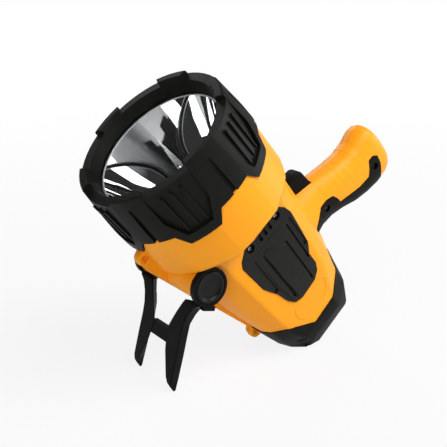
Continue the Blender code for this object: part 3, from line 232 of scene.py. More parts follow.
finishes = {
    "shellOrange": {
        "color": (0.93, 0.350, 0.010), "deepColor": (0.89, 0.300, 0.007), "drift": 0.6, "rough": 0.42,
        "roughSpread": 0.10, "grainScale": 1400.0, "grainStrength": 0.05, "grainDepth": 0.00005,
        "dust": 0.0, "specular": 0.18,
    },
    "bezelRubber": {
        "color": (0.0045, 0.0048, 0.0038), "deepColor": (0.0075, 0.0078, 0.0064), "drift": 0.8,
        "rough": 0.50, "roughSpread": 0.16, "grainScale": 1700.0, "grainStrength": 0.2,
        "grainDepth": 0.00006, "dust": 0.02, "specular": 0.10,
    },
    "guardRubber": {
        "color": (0.0034, 0.0036, 0.0029), "deepColor": (0.0058, 0.0060, 0.0050), "drift": 0.8,
        "rough": 0.54, "roughSpread": 0.14, "grainScale": 1700.0, "grainStrength": 0.2,
        "grainDepth": 0.00006, "dust": 0.02, "specular": 0.08,
    },
    # Dimples: a darker orange, painted shade of the holes in the keel bosses
    "dimpleOrange": {
        "color": (0.80, 0.20, 0.004), "deepColor": (0.70, 0.165, 0.003), "drift": 0.6, "rough": 0.5,
        "roughSpread": 0.10, "grainScale": 1400.0, "grainStrength": 0.1, "grainDepth": 0.00004,
        "dust": 0.0, "specular": 0.15,
    },
    "wellShade": {
        "color": (0.0012, 0.0012, 0.0011), "deepColor": (0.0020, 0.0020, 0.0018), "drift": 0.6,
        "rough": 0.62, "roughSpread": 0.10, "grainScale": 1500.0, "grainStrength": 0.1,
        "grainDepth": 0.00004, "dust": 0.0, "specular": 0.04,
    },
    "standPlastic": {
        "color": (0.0030, 0.0032, 0.0026), "deepColor": (0.0052, 0.0053, 0.0046), "drift": 0.7,
        "rough": 0.52, "roughSpread": 0.14, "grainScale": 1900.0, "grainStrength": 0.15,
        "grainDepth": 0.00005, "dust": 0.01, "specular": 0.07,
    },
    "ventPlastic": {
        "color": (0.0052, 0.0056, 0.0044), "deepColor": (0.0084, 0.0088, 0.0074), "drift": 0.7,
        "rough": 0.40, "roughSpread": 0.14, "grainScale": 1900.0, "grainStrength": 0.15,
        "grainDepth": 0.00005, "dust": 0.02, "specular": 0.18,
    },
    "pinGloss": {
        "color": (0.0042, 0.0044, 0.0038), "deepColor": (0.0068, 0.0069, 0.0062), "drift": 0.7,
        "rough": 0.36, "roughSpread": 0.10, "grainScale": 1900.0, "grainStrength": 0.1,
        "grainDepth": 0.00005, "dust": 0.01, "specular": 0.16,
    },
    "mirrorCoat": {
        "color": (0.86, 0.865, 0.87), "deepColor": (0.78, 0.785, 0.79), "drift": 0.5, "rough": 0.03,
        "roughSpread": 0.02, "grainScale": 60.0, "grainStrength": 0.02, "grainDepth": 0.00005,
        "dust": 0.0, "metallic": 1.0,
    },
    # Rim bead: pale colour as painted highlight of the rim's bright line, with a real glossy coat over it
    "clearEdge": {
        "color": (0.82, 0.83, 0.84), "deepColor": (0.76, 0.77, 0.78), "drift": 0.4, "rough": 0.12,
        "roughSpread": 0.05, "grainScale": 400.0, "grainStrength": 0.05, "grainDepth": 0.00003,
        "dust": 0.0, "coat": 0.6,
    },
    "lensGlass": {
        "color": (0.97, 0.98, 0.98), "deepColor": (0.95, 0.97, 0.97), "drift": 0.3, "rough": 0.02,
        "roughSpread": 0.01, "grainScale": 90.0, "grainStrength": 0.0, "grainDepth": 0.00002,
        "dust": 0.0, "transmission": 1.0, "ior": 1.35,
    },
    "screwSteel": {
        "color": (0.34, 0.34, 0.345), "deepColor": (0.24, 0.24, 0.245), "drift": 0.6, "rough": 0.2,
        "roughSpread": 0.14, "grainScale": 2600.0, "grainStrength": 0.2, "grainDepth": 0.00004,
        "dust": 0.0, "metallic": 1.0,
    },
    "castAluminium": {
        "color": (0.60, 0.61, 0.62), "deepColor": (0.50, 0.51, 0.53), "drift": 0.6, "rough": 0.38,
        "roughSpread": 0.12, "grainScale": 1500.0, "grainStrength": 0.4, "grainDepth": 0.0001,
        "dust": 0.0, "metallic": 1.0,
    },
    "boardMask": {
        "color": (0.02, 0.14, 0.06), "deepColor": (0.015, 0.10, 0.05), "drift": 0.6, "rough": 0.35,
        "roughSpread": 0.1, "grainScale": 900.0, "grainStrength": 0.2, "grainDepth": 0.00006,
        "dust": 0.0,
    },
    "phosphor": {
        "color": (0.88, 0.70, 0.10), "deepColor": (0.80, 0.62, 0.06), "drift": 0.5, "rough": 0.25,
        "roughSpread": 0.08, "grainScale": 2200.0, "grainStrength": 0.2, "grainDepth": 0.00003,
        "dust": 0.0, "coat": 0.5,
    },
    "cellSleeve": {
        "color": (0.03, 0.10, 0.36), "deepColor": (0.02, 0.08, 0.30), "drift": 0.5, "rough": 0.3,
        "roughSpread": 0.08, "grainScale": 700.0, "grainStrength": 0.1, "grainDepth": 0.00004,
        "dust": 0.0,
    },
    "sealRubber": {
        "color": (0.02, 0.02, 0.02), "deepColor": (0.028, 0.028, 0.027), "drift": 0.6, "rough": 0.75,
        "roughSpread": 0.1, "grainScale": 1500.0, "grainStrength": 0.4, "grainDepth": 0.00008,
        "dust": 0.05, "specular": 0.3,
    },
}
materials = {name: newFinish(name, finish) for name, finish in finishes.items()}
print("materials made,", len(materials))

slotFinish = {
    "orange_shell": "shellOrange", "black_rubber": "bezelRubber", "black_plastic": "standPlastic",
    "clear_lens": "lensGlass", "chrome_finish": "mirrorCoat", "steel_finish": "screwSteel",
    "aluminium_finish": "castAluminium", "board_finish": "boardMask", "emitter_finish": "phosphor",
    "cell_finish": "cellSleeve", "seal_rubber": "sealRubber",
}
nodeSlot = {entry["node"]: entry["material_slot"] for entry in frame["record"]["subparts"]}
for name, node in frame["nodes"].items():
    node.data.materials.clear()
    node.data.materials.append(materials[slotFinish[nodeSlot[name]]])


# Dressed pieces
dress = {
    "mergeDistance": 0.000004,
    "cutDistance": 0.000001,
    "flatAngle": math.radians(0.6),
    "sharpAngle": math.radians(34),
    "bevelAngle": math.radians(38),
    "bevelSegments": 2,
    "faceWeight": 50,
}


# Cuts a mesh along a plane. The geometry is the part of it that the cut may reach.
def cutPlane(work, geometry, place, facing):
    bmesh.ops.bisect_plane(work, geom=geometry, dist=dress["cutDistance"], plane_co=place, plane_no=facing)


# Finger ribs: low rounded ridges across the front of the grip, gone before they reach the strap
ribs = {
    "lowZ": 0.0765,
    "highZ": 0.1260,
    "count": 8,
    "shoulder": 0.0006,
    "halfWidth": 0.0011,
    "cutReach": 0.03,
    "height": 0.00027,
    "shoulderShare": 0.55,
    "facingLimit": 0.35,
    "frontLimit": -0.1,
    "levels": (0.070, 0.084, 0.098, 0.112, 0.130),
    "frontX": (-0.1390, -0.1441, -0.1487, -0.1524, -0.1524),
    "backX": (-0.1840, -0.1884, -0.1955, -0.2003, -0.2031),
    "fadeStart": 0.24,
    "fadeEnd": 0.58,
}


# Cuts the shell's faces along the foot, shoulder and crest of each rib
def cutRibLines(work):
    upward = lampTurn @ Vector((0, 0, 1))
    for middle in np.linspace(ribs["lowZ"], ribs["highZ"], ribs["count"]):
        for step in (-ribs["halfWidth"], -ribs["shoulder"], 0, ribs["shoulder"], ribs["halfWidth"]):
            height = float(middle + step)
            faces = [face for face in work.faces
                     if abs((face.calc_center_median() - lampOrigin).dot(upward) - height) < ribs["cutReach"]]
            edges = {edge for face in faces for edge in face.edges}
            verts = {vert for face in faces for vert in face.verts}
            cutPlane(work, [*faces, *edges, *verts], Vector(toWorld((0, 0, height))), upward)


# Height over the shell: crest times a rounded profile of the distance to the nearest rib, times a fade
# from one at the front of the grip to nothing at its back. The way out is away from the grip's middle.
def raiseRibs(mesh):
    count = len(mesh.vertices)
    coords, normals = np.empty(count * 3, np.float32), np.empty(count * 3, np.float32)
    mesh.vertices.foreach_get("co", coords)
    mesh.vertices.foreach_get("normal", normals)
    world = coords.reshape(-1, 3).astype(float)
    local = toLamp(world)
    facing = normals.reshape(-1, 3) @ turnArray
    frontX = np.interp(local[:, 2], ribs["levels"], ribs["frontX"])
    backX = np.interp(local[:, 2], ribs["levels"], ribs["backX"])
    middles = np.linspace(ribs["lowZ"], ribs["highZ"], ribs["count"])
    away = np.abs(local[:, 2:] - middles).min(1)
    crest = np.interp(away, (0, ribs["shoulder"], ribs["halfWidth"]), (1, ribs["shoulderShare"], 0))
    share = (frontX - local[:, 0]) / (frontX - backX)
    fade = 1 - np.clip((share - ribs["fadeStart"]) / (ribs["fadeEnd"] - ribs["fadeStart"]), 0, 1)
    outward = np.stack([local[:, 0] - (frontX + backX) / 2, local[:, 1], np.zeros_like(share)], -1)
    outward /= np.maximum(np.linalg.norm(outward, axis=1, keepdims=True), 1e-6)
    onSkin = (outward * facing).sum(1) > ribs["facingLimit"]
    onGrip = (share > ribs["frontLimit"]) & (local[:, 2] > ribs["levels"][0])
    height = ribs["height"] * crest * fade * onSkin * onGrip
    moved = toWorld(local + outward * height[:, None])
    mesh.vertices.foreach_set("co", moved.astype(np.float32).ravel())
    mesh.update()


# Vent relief: what stands over the cover's face is raised further, by a factor that falls off towards the
# slots. Each groove runs between two places (x, z) along the foot of a step.
vent = {
    "faceY": 0.0373,
    "reliefX": (-0.150, -0.118),
    "reliefFactor": (1.7, 0.3),
    "grooves": (((-0.1290, 0.0146), (-0.1770, 0.0126)), ((-0.1190, 0.0238), (-0.1600, 0.0216)),
                ((-0.1210, -0.0070), (-0.1740, -0.0084))),
    "grooveHalf": 0.0010,
    "grooveSlope": 0.0003,
    "grooveFloor": 0.00027,      # the floor begins a little before the slope's foot
    "grooveDepth": 0.0016,
    "faceSlack": 0.0002,
}


# The lamp plane through one end of a groove, moved along or across it: a place and a direction
def groovePlane(start, end, along, across, lengthwise):
    start, end = np.array(start), np.array(end)
    way = (end - start) / np.linalg.norm(end - start)
    side = np.array((-way[1], way[0]))
    place = start + way * along + side * across
    facing = side if lengthwise else way
    return Vector(toWorld((place[0], 0, place[1]))), lampTurn @ Vector((facing[0], 0, facing[1]))


def cutGrooveLines(work):
    for start, end in vent["grooves"]:
        length = math.dist(start, end)
        half, slope = vent["grooveHalf"], vent["grooveSlope"]
        flanks = (-half, slope - half, half - slope, half)
        ends = (0, slope, length - slope, length)
        planes = [groovePlane(start, end, 0, across, True) for across in flanks]
        planes += [groovePlane(start, end, along, 0, False) for along in ends]
        for place, facing in planes:
            cutPlane(work, [*work.verts, *work.edges, *work.faces], place, facing)


# Groove depth: full inside its flanks, nothing outside, on the cover's outer faces alone
def raiseVent(mesh):
    coords = np.empty(len(mesh.vertices) * 3, np.float32)
    mesh.vertices.foreach_get("co", coords)
    coords = coords.reshape(-1, 3)
    local = toLamp(coords)
    out, height = np.sign(coords[:, 1]), np.abs(coords[:, 1])
    deep = np.zeros(len(coords))
    for start, end in vent["grooves"]:
        way = np.subtract(end, start) / math.dist(start, end)
        away = local[:, ::2] - np.array(start)
        along, across = away @ way, away @ np.array((-way[1], way[0]))
        slope, length = vent["grooveFloor"], math.dist(start, end)
        inside = (along > slope) & (along < length - slope) & (np.abs(across) < vent["grooveHalf"] - slope)
        deep = np.where(inside & (height > vent["faceY"] - vent["faceSlack"]), vent["grooveDepth"], deep)
    over = np.maximum(height - vent["faceY"], 0)
    factor = np.interp(local[:, 0], vent["reliefX"], vent["reliefFactor"])
    coords[:, 1] += out * (over * (factor - 1) - deep)
    mesh.vertices.foreach_set("co", coords.ravel())
    mesh.update()


# Links a piece, gives it its finish, says what it rides on and hides the nodes it replaces
def placePiece(thing, finish, body, nodes=()):
    bpy.context.scene.collection.objects.link(thing)
    thing.data.materials.clear()
    thing.data.materials.append(materials[finish])
    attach(thing, body)
    if nodes:
        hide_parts(*nodes)
    return thing


# A merged copy of a node: flat triangles are joined, soft corners get a small round
def dressNode(name, node, finish, width):
    source = frame["nodes"][node]
    work = bmesh.new()
    work.from_mesh(source.data)
    bmesh.ops.remove_doubles(work, verts=work.verts, dist=dress["mergeDistance"])
    bmesh.ops.dissolve_limit(work, angle_limit=dress["flatAngle"], verts=work.verts, edges=work.edges)
    if node.startswith("housing"):
        cutRibLines(work)
    if node.startswith("vent_cover"):
        cutGrooveLines(work)
    mesh = bpy.data.meshes.new(name)
    work.to_mesh(mesh)
    work.free()
    if node.startswith("housing"):
        raiseRibs(mesh)
    if node.startswith("vent_cover"):
        raiseVent(mesh)
    mesh.shade_smooth()
    mesh.set_sharp_from_angle(angle=dress["sharpAngle"])
    thing = bpy.data.objects.new(name, mesh)
    bevel = thing.modifiers.new("softCorner", "BEVEL")
    bevel.width = width
    bevel.segments = dress["bevelSegments"]
    bevel.limit_method = "ANGLE"
    bevel.angle_limit = dress["bevelAngle"]
    bevel.use_clamp_overlap = True
    bevel.harden_normals = True
    bevel.miter_outer = "MITER_ARC"
    level = thing.modifiers.new("evenFaces", "WEIGHTED_NORMAL")
    level.mode = "FACE_AREA"
    level.weight = dress["faceWeight"]
    level.keep_sharp = True
    return placePiece(thing, finish, source["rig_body"], (node,))


# Name, node, finish and width of the soft corner
dressed = (
    ("shellLeft", "housing_left", "shellOrange", 0.0003),
    ("shellRight", "housing_right", "shellOrange", 0.0003),
    ("bezelRing", "bezel", "bezelRubber", 0.0005),
    ("capGuard", "rear_cap", "guardRubber", 0.0005),
    ("gripInsert", "grip_strap", "guardRubber", 0.0004),
    ("triggerKey", "trigger", "standPlastic", 0.0003),
    ("standFrame", "stand", "standPlastic", 0.0005),
    ("ventLeft", "vent_cover_left", "ventPlastic", 0.0003),
    ("ventRight", "vent_cover_right", "ventPlastic", 0.0003),
)
for name, node, finish, width in dressed:
    dressNode(name, node, finish, width)
print("dressed nodes,", len(dressed))


# A grid of points as one mesh, closed along its rows or columns where asked
def gridMesh(name, points, wrapRows=False, wrapColumns=False):
    rows, columns = points.shape[:2]
    index = np.arange(rows * columns).reshape(rows, columns)
    if wrapRows:
        index = np.concatenate([index, index[:1]], 0)
    if wrapColumns:
        index = np.concatenate([index, index[:, :1]], 1)
    faces = np.stack([index[:-1, :-1], index[:-1, 1:], index[1:, 1:], index[1:, :-1]], -1).reshape(-1, 4)
    mesh = bpy.data.meshes.new(name)
    mesh.from_pydata(points.reshape(-1, 3).tolist(), [], faces.tolist())
    return mesh


# Doubles at the poles are merged, an open end is closed if asked, and the faces are turned outwards
def closedMesh(name, mesh, sharpAngle, closeEnd=False):
    work = bmesh.new()
    work.from_mesh(mesh)
    bmesh.ops.remove_doubles(work, verts=work.verts, dist=dress["mergeDistance"])
    if closeEnd:
        bmesh.ops.holes_fill(work, edges=[edge for edge in work.edges if edge.is_boundary])
    bmesh.ops.recalc_face_normals(work, faces=work.faces)
    work.to_mesh(mesh)
    work.free()
    mesh.shade_smooth()
    mesh.set_sharp_from_angle(angle=sharpAngle)
    return bpy.data.objects.new(name, mesh)


# Reflector: one bright bowl turned about the beam, with a thin polished bead round its rim whose pale colour
# is a painted highlight
mirror = {
    "focus": 0.00981,
    "rimX": -0.0138,
    "rimRadius": 0.0503,
    "holeRadius": 0.0092,
    "wall": 0.0017,
    "flangeX": -0.0138,
    "flangeRadius": 0.0563,
    "flangeBack": 0.0018,
    "beadHigh": 0.0009,
    "beadWide": 0.0015,
    "beadSink": 0.0002,
    "beadGap": 0.0001,
    "rings": 130,
    "beadSteps": 14,
    "steps": 320,
}


# A profile (x, radius) carried round the beam axis: y is radius cos turn, z is radius sin turn
def turnProfile(profile, steps):
    profile = np.asarray(profile)
    turn = np.linspace(0, 2 * math.pi, steps, endpoint=False)
    x = np.repeat(profile[:, :1], steps, 1)
    return np.stack([x, profile[:, 1:] * np.cos(turn), profile[:, 1:] * np.sin(turn)], -1)


# Mirror profile: x falls from the rim by (rim squared less radius squared) over four focal lengths.
# The back runs a wall behind it, out to the flat flange.
def bowlProfile():
    radius = np.linspace(mirror["rimRadius"], mirror["holeRadius"], mirror["rings"])
    depth = mirror["rimX"] - (mirror["rimRadius"] ** 2 - radius ** 2) / (4 * mirror["focus"])
    face = np.stack([depth, radius], -1)
    behind = face[::-1] + np.array((-mirror["wall"], mirror["wall"]))
    behind = behind[behind[:, 0] < mirror["flangeX"] - mirror["flangeBack"]]
    corner = [(mirror["flangeX"] - mirror["flangeBack"], behind[-1, 1]),
              (mirror["flangeX"] - mirror["flangeBack"], mirror["flangeRadius"]),
              (mirror["flangeX"], mirror["flangeRadius"])]
    return np.concatenate([face, behind, corner])


def makeReflector():
    points = toWorld(turnProfile(bowlProfile(), mirror["steps"]))
    mesh = gridMesh("reflectorBowl", points, wrapRows=True, wrapColumns=True)
    mesh.shade_smooth()
    mesh.set_sharp_from_angle(angle=dress["sharpAngle"])
    return mesh


reflectorBowl = bpy.data.objects.new("reflectorBowl", makeReflector())
placePiece(reflectorBowl, "mirrorCoat", "lamp", ("reflector",))


# Rim bead: x rises by its height times sin turn, radius goes half its width either way by cos turn
def beadProfile():
    turn = np.linspace(0, math.pi, mirror["beadSteps"])
    middle = mirror["rimRadius"] + mirror["beadWide"] / 2 + mirror["beadGap"]
    x = mirror["rimX"] - mirror["beadSink"] + mirror["beadHigh"] * np.sin(turn)
    return np.stack([x, middle + mirror["beadWide"] / 2 * np.cos(turn)], -1)


beadPoints = toWorld(turnProfile(beadProfile(), mirror["steps"]))
beadMesh = gridMesh("rimBead", beadPoints, wrapRows=True, wrapColumns=True)
beadMesh.shade_smooth()
# The bead's pale colour is painted highlight; its coat adds real gloss
placePiece(bpy.data.objects.new("rimBead", beadMesh), "clearEdge", "lamp")
print("reflector made")

# Stand pins: a broad cap with a dished face, and its shank
pin = {
    "profile": ((0.02790, 0.0000), (0.02775, 0.0030), (0.02775, 0.0042), (0.02800, 0.00445),
                (0.03845, 0.00445), (0.03865, 0.0060), (0.03865, 0.0117), (0.03885, 0.0121),
                (0.04000, 0.0122), (0.04045, 0.0120), (0.04065, 0.0115), (0.04065, 0.0106),
                (0.04050, 0.0102), (0.04000, 0.0098), (0.03915, 0.0092), (0.03890, 0.0086),
                (0.03885, 0.0060), (0.03895, 0.0030), (0.03898, 0.0000)),
    "steps": 96,
    "sharpAngle": math.radians(50),
}


# A profile (y, radius) carried round an axis along Y: x is centre plus radius cos turn, z is centre plus
# radius sin turn, and side turns it over
def turnAcross(profile, centre, side, steps):
    profile = np.asarray(profile)
    turn = np.linspace(0, 2 * math.pi, steps, endpoint=False) * -side
    x = centre[0] + profile[:, 1:] * np.cos(turn)
    y = np.repeat(profile[:, :1], steps, 1) * side
    z = centre[2] + profile[:, 1:] * np.sin(turn)
    return np.stack([x, y, z], -1)


for name, node, side in (("pinLeft", "stand_pin_left", 1), ("pinRight", "stand_pin_right", -1)):
    points = turnAcross(pin["profile"], pivotPlace, side, pin["steps"])
    thing = closedMesh(name, gridMesh(name, points, wrapColumns=True), pin["sharpAngle"])
    placePiece(thing, "pinGloss", frame["nodes"][node]["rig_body"], (node,))
print("stand pins made")

# Keel bosses: a round eye at each end of the keel, with a dimple in it whose darker orange is painted shade
# of the hole
boss = {
    "places": ((-0.0606, -0.0653), (-0.1982, -0.0438)),
    "profile": ((-0.0022, 0.0000), (-0.0022, 0.0050), (-0.0018, 0.0057), (-0.0012, 0.0060), (0.0026, 0.0060),
                (0.0034, 0.0058), (0.0039, 0.0052), (0.0039, 0.0037), (0.0036, 0.0033), (0.0027, 0.0031),
                (0.0004, 0.0029), (0.0001, 0.0020), (0.0001, 0.0000)),
    "dimple": ((0.0026, 0.0000), (0.0026, 0.0026), (0.0036, 0.0027), (0.0038, 0.0026), (0.0037, 0.0023),
               (0.0035, 0.0018), (0.0034, 0.0012), (0.0033, 0.0000)),
    "steps": 56,
    "sharpAngle": math.radians(50),
}
for i, (x, z) in enumerate(boss["places"]):
    for name, profile, finish in (("keelBoss%d" % (i + 1), boss["profile"], "shellOrange"),
                                  ("keelDimple%d" % (i + 1), boss["dimple"], "dimpleOrange")):
        points = turnAcross(profile, toWorld((x, 0, z)), 1, boss["steps"])
        thing = closedMesh(name, gridMesh(name, points, wrapColumns=True), boss["sharpAngle"])
        placePiece(thing, finish, "lamp")
print("keel bosses made")

# Bare oblong on the left side behind the vent: a low rounded line that lies on the shell
oblong = {
    "corners": ((-0.1849, -0.0150), (-0.1905, -0.0180), (-0.1985, -0.0175), (-0.2040, -0.0118),
                (-0.2045, 0.0110), (-0.2015, 0.0175), (-0.1900, 0.0215), (-0.1857, 0.0188)),
    "round": 0.0022,
    "points": 200,
    "halfWidth": 0.00055,
    "height": 0.00045,
    "sink": 0.0002,
    "profileSteps": 9,
    "reach": 0.06,
    "sharpAngle": math.radians(70),
}


# Path: the corner polygon sampled by length, then evened by a running mean as wide as the round
def oblongPath():
    corners = np.array(oblong["corners"] + oblong["corners"][:1])
    lengths = np.concatenate([[0], np.cumsum(np.linalg.norm(np.diff(corners, axis=0), axis=1))])
    places = np.linspace(0, lengths[-1], oblong["points"], endpoint=False)
    path = np.stack([np.interp(places, lengths, corners[:, i]) for i in (0, 1)], -1)
    reach = max(1, int(oblong["round"] / lengths[-1] * oblong["points"]))
    return np.mean([np.roll(path, shift, 0) for shift in range(-reach, reach + 1)], 0)


# The line on the skin: a half ellipse across the path, its height added along the skin's own normal
def oblongMesh(name, skin):
    path = oblongPath()
    tree = BVHTree.FromObject(skin, bpy.context.evaluated_depsgraph_get())
    way = Vector((0, -1, 0))
    hits = [tree.ray_cast(Vector(toWorld((x, oblong["reach"], z))), way) for x, z in path]
    spots = np.array([hit[0] for hit in hits])
    facing = np.array([hit[1] for hit in hits])
    facing /= np.linalg.norm(facing, axis=1, keepdims=True)
    ahead = np.roll(spots, -1, 0) - np.roll(spots, 1, 0)
    across = np.cross(ahead, facing)
    across /= np.linalg.norm(across, axis=1, keepdims=True)
    turn = np.linspace(0, math.pi, oblong["profileSteps"])
    lift = (oblong["height"] + oblong["sink"]) * np.sin(turn) - oblong["sink"]
    points = (spots[:, None] + across[:, None] * (oblong["halfWidth"] * np.cos(turn))[:, None]
              + facing[:, None] * lift[:, None])
    return gridMesh(name, points, wrapRows=True, wrapColumns=True)


oblongShape = oblongMesh("oblongLine", bpy.data.objects["shellLeft"])
oblongLine = closedMesh("oblongLine", oblongShape, oblong["sharpAngle"])
placePiece(oblongLine, "shellOrange", "lamp")
print("oblong made")

# Screw cups: near-black cups in the two holes of the grip strap, painted shade standing in for the holes'
# dark depth
cup = {
    "low": 0.0128,
    "floor": 0.0131,
    "top": 0.0156,
    "outer": 0.00325,
    "inner": 0.00295,
    "hole": 0.0024,
    "steps": 48,
    "sharpAngle": math.radians(50),
}
cupProfile = ((cup["low"], cup["hole"]), (cup["low"], cup["outer"]), (cup["top"], cup["outer"]),
              (cup["top"], cup["inner"]), (cup["floor"], cup["inner"]), (cup["floor"], cup["hole"]))
for name, node in (("cupLower", "grip_screw_lower"), ("cupUpper", "grip_screw_upper")):
    low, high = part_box(node)
    points = turnAcross(cupProfile, (Vector(low) + Vector(high)) / 2, 1, cup["steps"])
    holeShade = closedMesh(name, gridMesh(name, points, wrapRows=True, wrapColumns=True), cup["sharpAngle"])
    placePiece(holeShade, "wellShade", "lamp")
print("screw cups made")

# Collars: a low lip in the vent cover round each of its screws, near black as painted shade of a recess round
# the screw
collar = {
    "profile": ((0.0364, 0.00266), (0.0364, 0.00285), (0.0368, 0.00370), (0.03746, 0.00370),
                (0.03758, 0.00355), (0.03758, 0.00290), (0.03735, 0.00266)),
    "steps": 56,
    "sharpAngle": math.radians(50),
}
for node in sorted(name for name in frame["nodes"] if name.startswith("vent_screw")):
    low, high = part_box(node)
    name = node.replace("vent_screw", "collar").replace("_", "")
    side = 1 if low.y > 0 else -1
    points = turnAcross(collar["profile"], (low + high) / 2, side, collar["steps"])
    shadeLip = closedMesh(name, gridMesh(name, points, wrapRows=True, wrapColumns=True), collar["sharpAngle"])
    placePiece(shadeLip, "wellShade", "lamp")
print("vent collars made")

# Cap slot: a dark oval dish with a rounded rim, laid on the cap's lower left facet where the photo shows it
# The dish is near black: painted shade of the slot's depth, lying just over the facet rather than sunk into
# it
dish = {
    "aim": (-0.2345, 0.0184, -0.0241),
    "way": (-0.349, 0.516, 0.782),
    "long": 0.0046,
    "short": 0.0021,
    "shares": (0, 0.35, 0.70, 0.78, 0.88, 0.96, 1.0),
    "lifts": (0.00004, 0.00004, 0.00006, 0.00020, 0.00024, 0.00012, -0.0004),
    "steps": 64,
    "sharpAngle": math.radians(60),
}


# Dish: an ellipse long cos turn, short sin turn in the facet's plane, lifted along its normal by share
def dishMesh(name, skin):
    tree = BVHTree.FromObject(skin, bpy.context.evaluated_depsgraph_get())
    eye, aim = Vector(toWorld(lens["place"])), Vector(toWorld(dish["aim"]))
    spot, facing = tree.ray_cast(eye, (aim - eye).normalized())[:2]
    level = lampTurn @ Vector(dish["way"])
    first = (level - facing * level.dot(facing)).normalized()
    second = facing.cross(first)
    turn = np.linspace(0, 2 * math.pi, dish["steps"], endpoint=False)[:, None]
    ring = np.cos(turn) * dish["long"] * np.array(first) + np.sin(turn) * dish["short"] * np.array(second)
    share = np.array(dish["shares"])[:, None, None]
    lift = np.array(dish["lifts"])[:, None, None] * np.array(facing)
    return gridMesh(name, np.array(spot) + share * ring + lift, wrapColumns=True)


dishShape = dishMesh("capSlot", bpy.data.objects["capGuard"])
placePiece(closedMesh("capSlot", dishShape, dish["sharpAngle"]), "wellShade", "lamp")
print("cap slot made")

# Dark sheet behind the vent slots, painted shade for the depth seen through them; a faint wave runs over it
gauze = {
    "x": (-0.1160, -0.0990),
    "z": (-0.0050, 0.0190),
    "y": 0.03486,
    "thick": 0.00018,
    "wave": 0.00003,
    "pitch": 0.0012,
    "rows": 60,
    "columns": 84,
    "sharpAngle": math.radians(60),
}


# Sheet: y is the level plus wave times sin x times sin z; a second layer closes it behind
def slotShadeMesh(side):
    x = np.linspace(*gauze["x"], gauze["rows"])[:, None]
    z = np.linspace(*gauze["z"], gauze["columns"])[None, :]
    bend = 2 * math.pi / gauze["pitch"]
    y = gauze["y"] + gauze["wave"] * np.sin(x * bend) * np.sin(z * bend)
    layer = np.stack(np.broadcast_arrays(x, y * side, z), -1)
    back = layer - np.array((0, gauze["thick"] * side, 0))
    sheet = np.stack([layer, back], 0)
    work = bmesh.new()
    for points in sheet:
        work.from_mesh(gridMesh("layer", toWorld(points)))
    edges = [edge for edge in work.edges if edge.is_boundary]
    bmesh.ops.bridge_loops(work, edges=edges)
    mesh = bpy.data.meshes.new("gauze")
    work.to_mesh(mesh)
    work.free()
    return mesh


for name, side in (("gauzeLeft", 1), ("gauzeRight", -1)):
    sheet = closedMesh(name, slotShadeMesh(side), gauze["sharpAngle"])
    placePiece(sheet, "sealRubber", "lamp")
print("gauze made")

# Screws: a shallow domed head with a cross recess
screw = {
    "radius": 0.0026,
    "dome": 0.0007,
    "height": 0.0018,
    "slotHalf": 0.00042,
    "slotReach": 0.0017,
    "slotDepth": 0.0009,
    "sideSlope": 6,
    "endSlope": 8,
    "rings": 26,
    "steps": 80,
    "turns": (0.3, 1.1, 0.7, 0.2, 0.9, 0.5),
}


# Head: it falls from its crown by dome times share squared, and by the slot's depth where the cross is cut.
# The cross has a sloping wall at its sides and its ends.
def screwHead(name, node, spin):
    low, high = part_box(node)
    centre = (low + high) / 2
    outward = 1 if centre.y > 0 else -1
    edge = high.y if outward > 0 else low.y
    share = np.linspace(0, 1, screw["rings"])[:, None]
    angle = np.linspace(0, 2 * math.pi, screw["steps"], endpoint=False)[None, :]
    radius = share * screw["radius"]
    a, b = radius * np.cos(angle), radius * np.sin(angle)
    across = np.minimum(np.abs(a), np.abs(b)) / screw["slotHalf"]
    along = np.maximum(np.abs(a), np.abs(b)) / screw["slotReach"]
    sides = np.clip(screw["sideSlope"] * (1 - across), 0, 1)
    ends = np.clip(screw["endSlope"] * (1 - along), 0, 1)
    height = -screw["dome"] * share ** 2 - screw["slotDepth"] * sides * ends
    c, s = math.cos(spin), math.sin(spin)
    x, z = a * c - b * s, a * s + b * c
    top = np.stack([x, height * outward, z * outward], -1)
    skirt = np.stack([x[-1], np.full_like(x[-1], -screw["height"] * outward), z[-1] * outward], -1)[None]
    points = np.concatenate([top, skirt], 0) + np.array((centre.x, edge, centre.z))
    thing = closedMesh(name, gridMesh(name, points, wrapColumns=True), dress["sharpAngle"], closeEnd=True)
    return placePiece(thing, "screwSteel", "lamp", (node,))


screwNodes = sorted(name for name in frame["nodes"] if "screw" in name)
for i, node in enumerate(screwNodes):
    screwHead(node.replace("_", "") + "Head", node, screw["turns"][i % len(screw["turns"])])
print("screws made,", len(screwNodes))

# Studio: a pale floor, a light band at the horizon under a dimmer ceiling, and soft boxes
studio = {
    "floorSize": 30.0,
    "floorColor": (0.60, 0.60, 0.60),
    "floorRough": 0.9,
    "glowReach": (0.15, 1.1),
    "glowLevel": (0.86, 1.0),
    "fallHeights": (0.02, 0.26),
    "fallLevels": (0.70, 0.04),        # at the horizon and overhead
    "roomWay": (-0.79, 0.61, 0.05),    # the way to the dark end of the room
    "roomReach": (0.45, 0.85),
    "roomLevel": (1.0, 0.12),
}


def softBox(name, place, target, size, power, inGloss):
    light = bpy.data.lights.new(name, "AREA")
    light.shape = "RECTANGLE"
    light.size, light.size_y = size
    light.energy = power
    lightObject = bpy.data.objects.new(name, light)
    lightObject.location = place
    aim = (Vector(target) - Vector(place)).to_track_quat("-Z", "Y")
    lightObject.rotation_euler = aim.to_euler()
    lightObject.visible_glossy = inGloss
    bpy.context.scene.collection.objects.link(lightObject)


# Name, place, target, size, power, and whether mirrors show it
softBoxes = (
    ("keyBox", (-0.2, 0.7, 1.2), (0, 0, 0.1), (1.0, 0.8), 20.0, True),
    ("frontBox", (1.1, 0.8, 0.4), (0, 0, 0.1), (0.7, 0.7), 6.5, False),
    ("rearBox", (-1.2, 0.5, 0.5), (0, 0, 0.1), (0.8, 0.5), 8.0, True),
    ("farBox", (-0.3, -1.2, 0.8), (0, 0, 0.1), (0.8, 0.6), 7.0, True),
)
for entry in softBoxes:
    softBox(*entry)

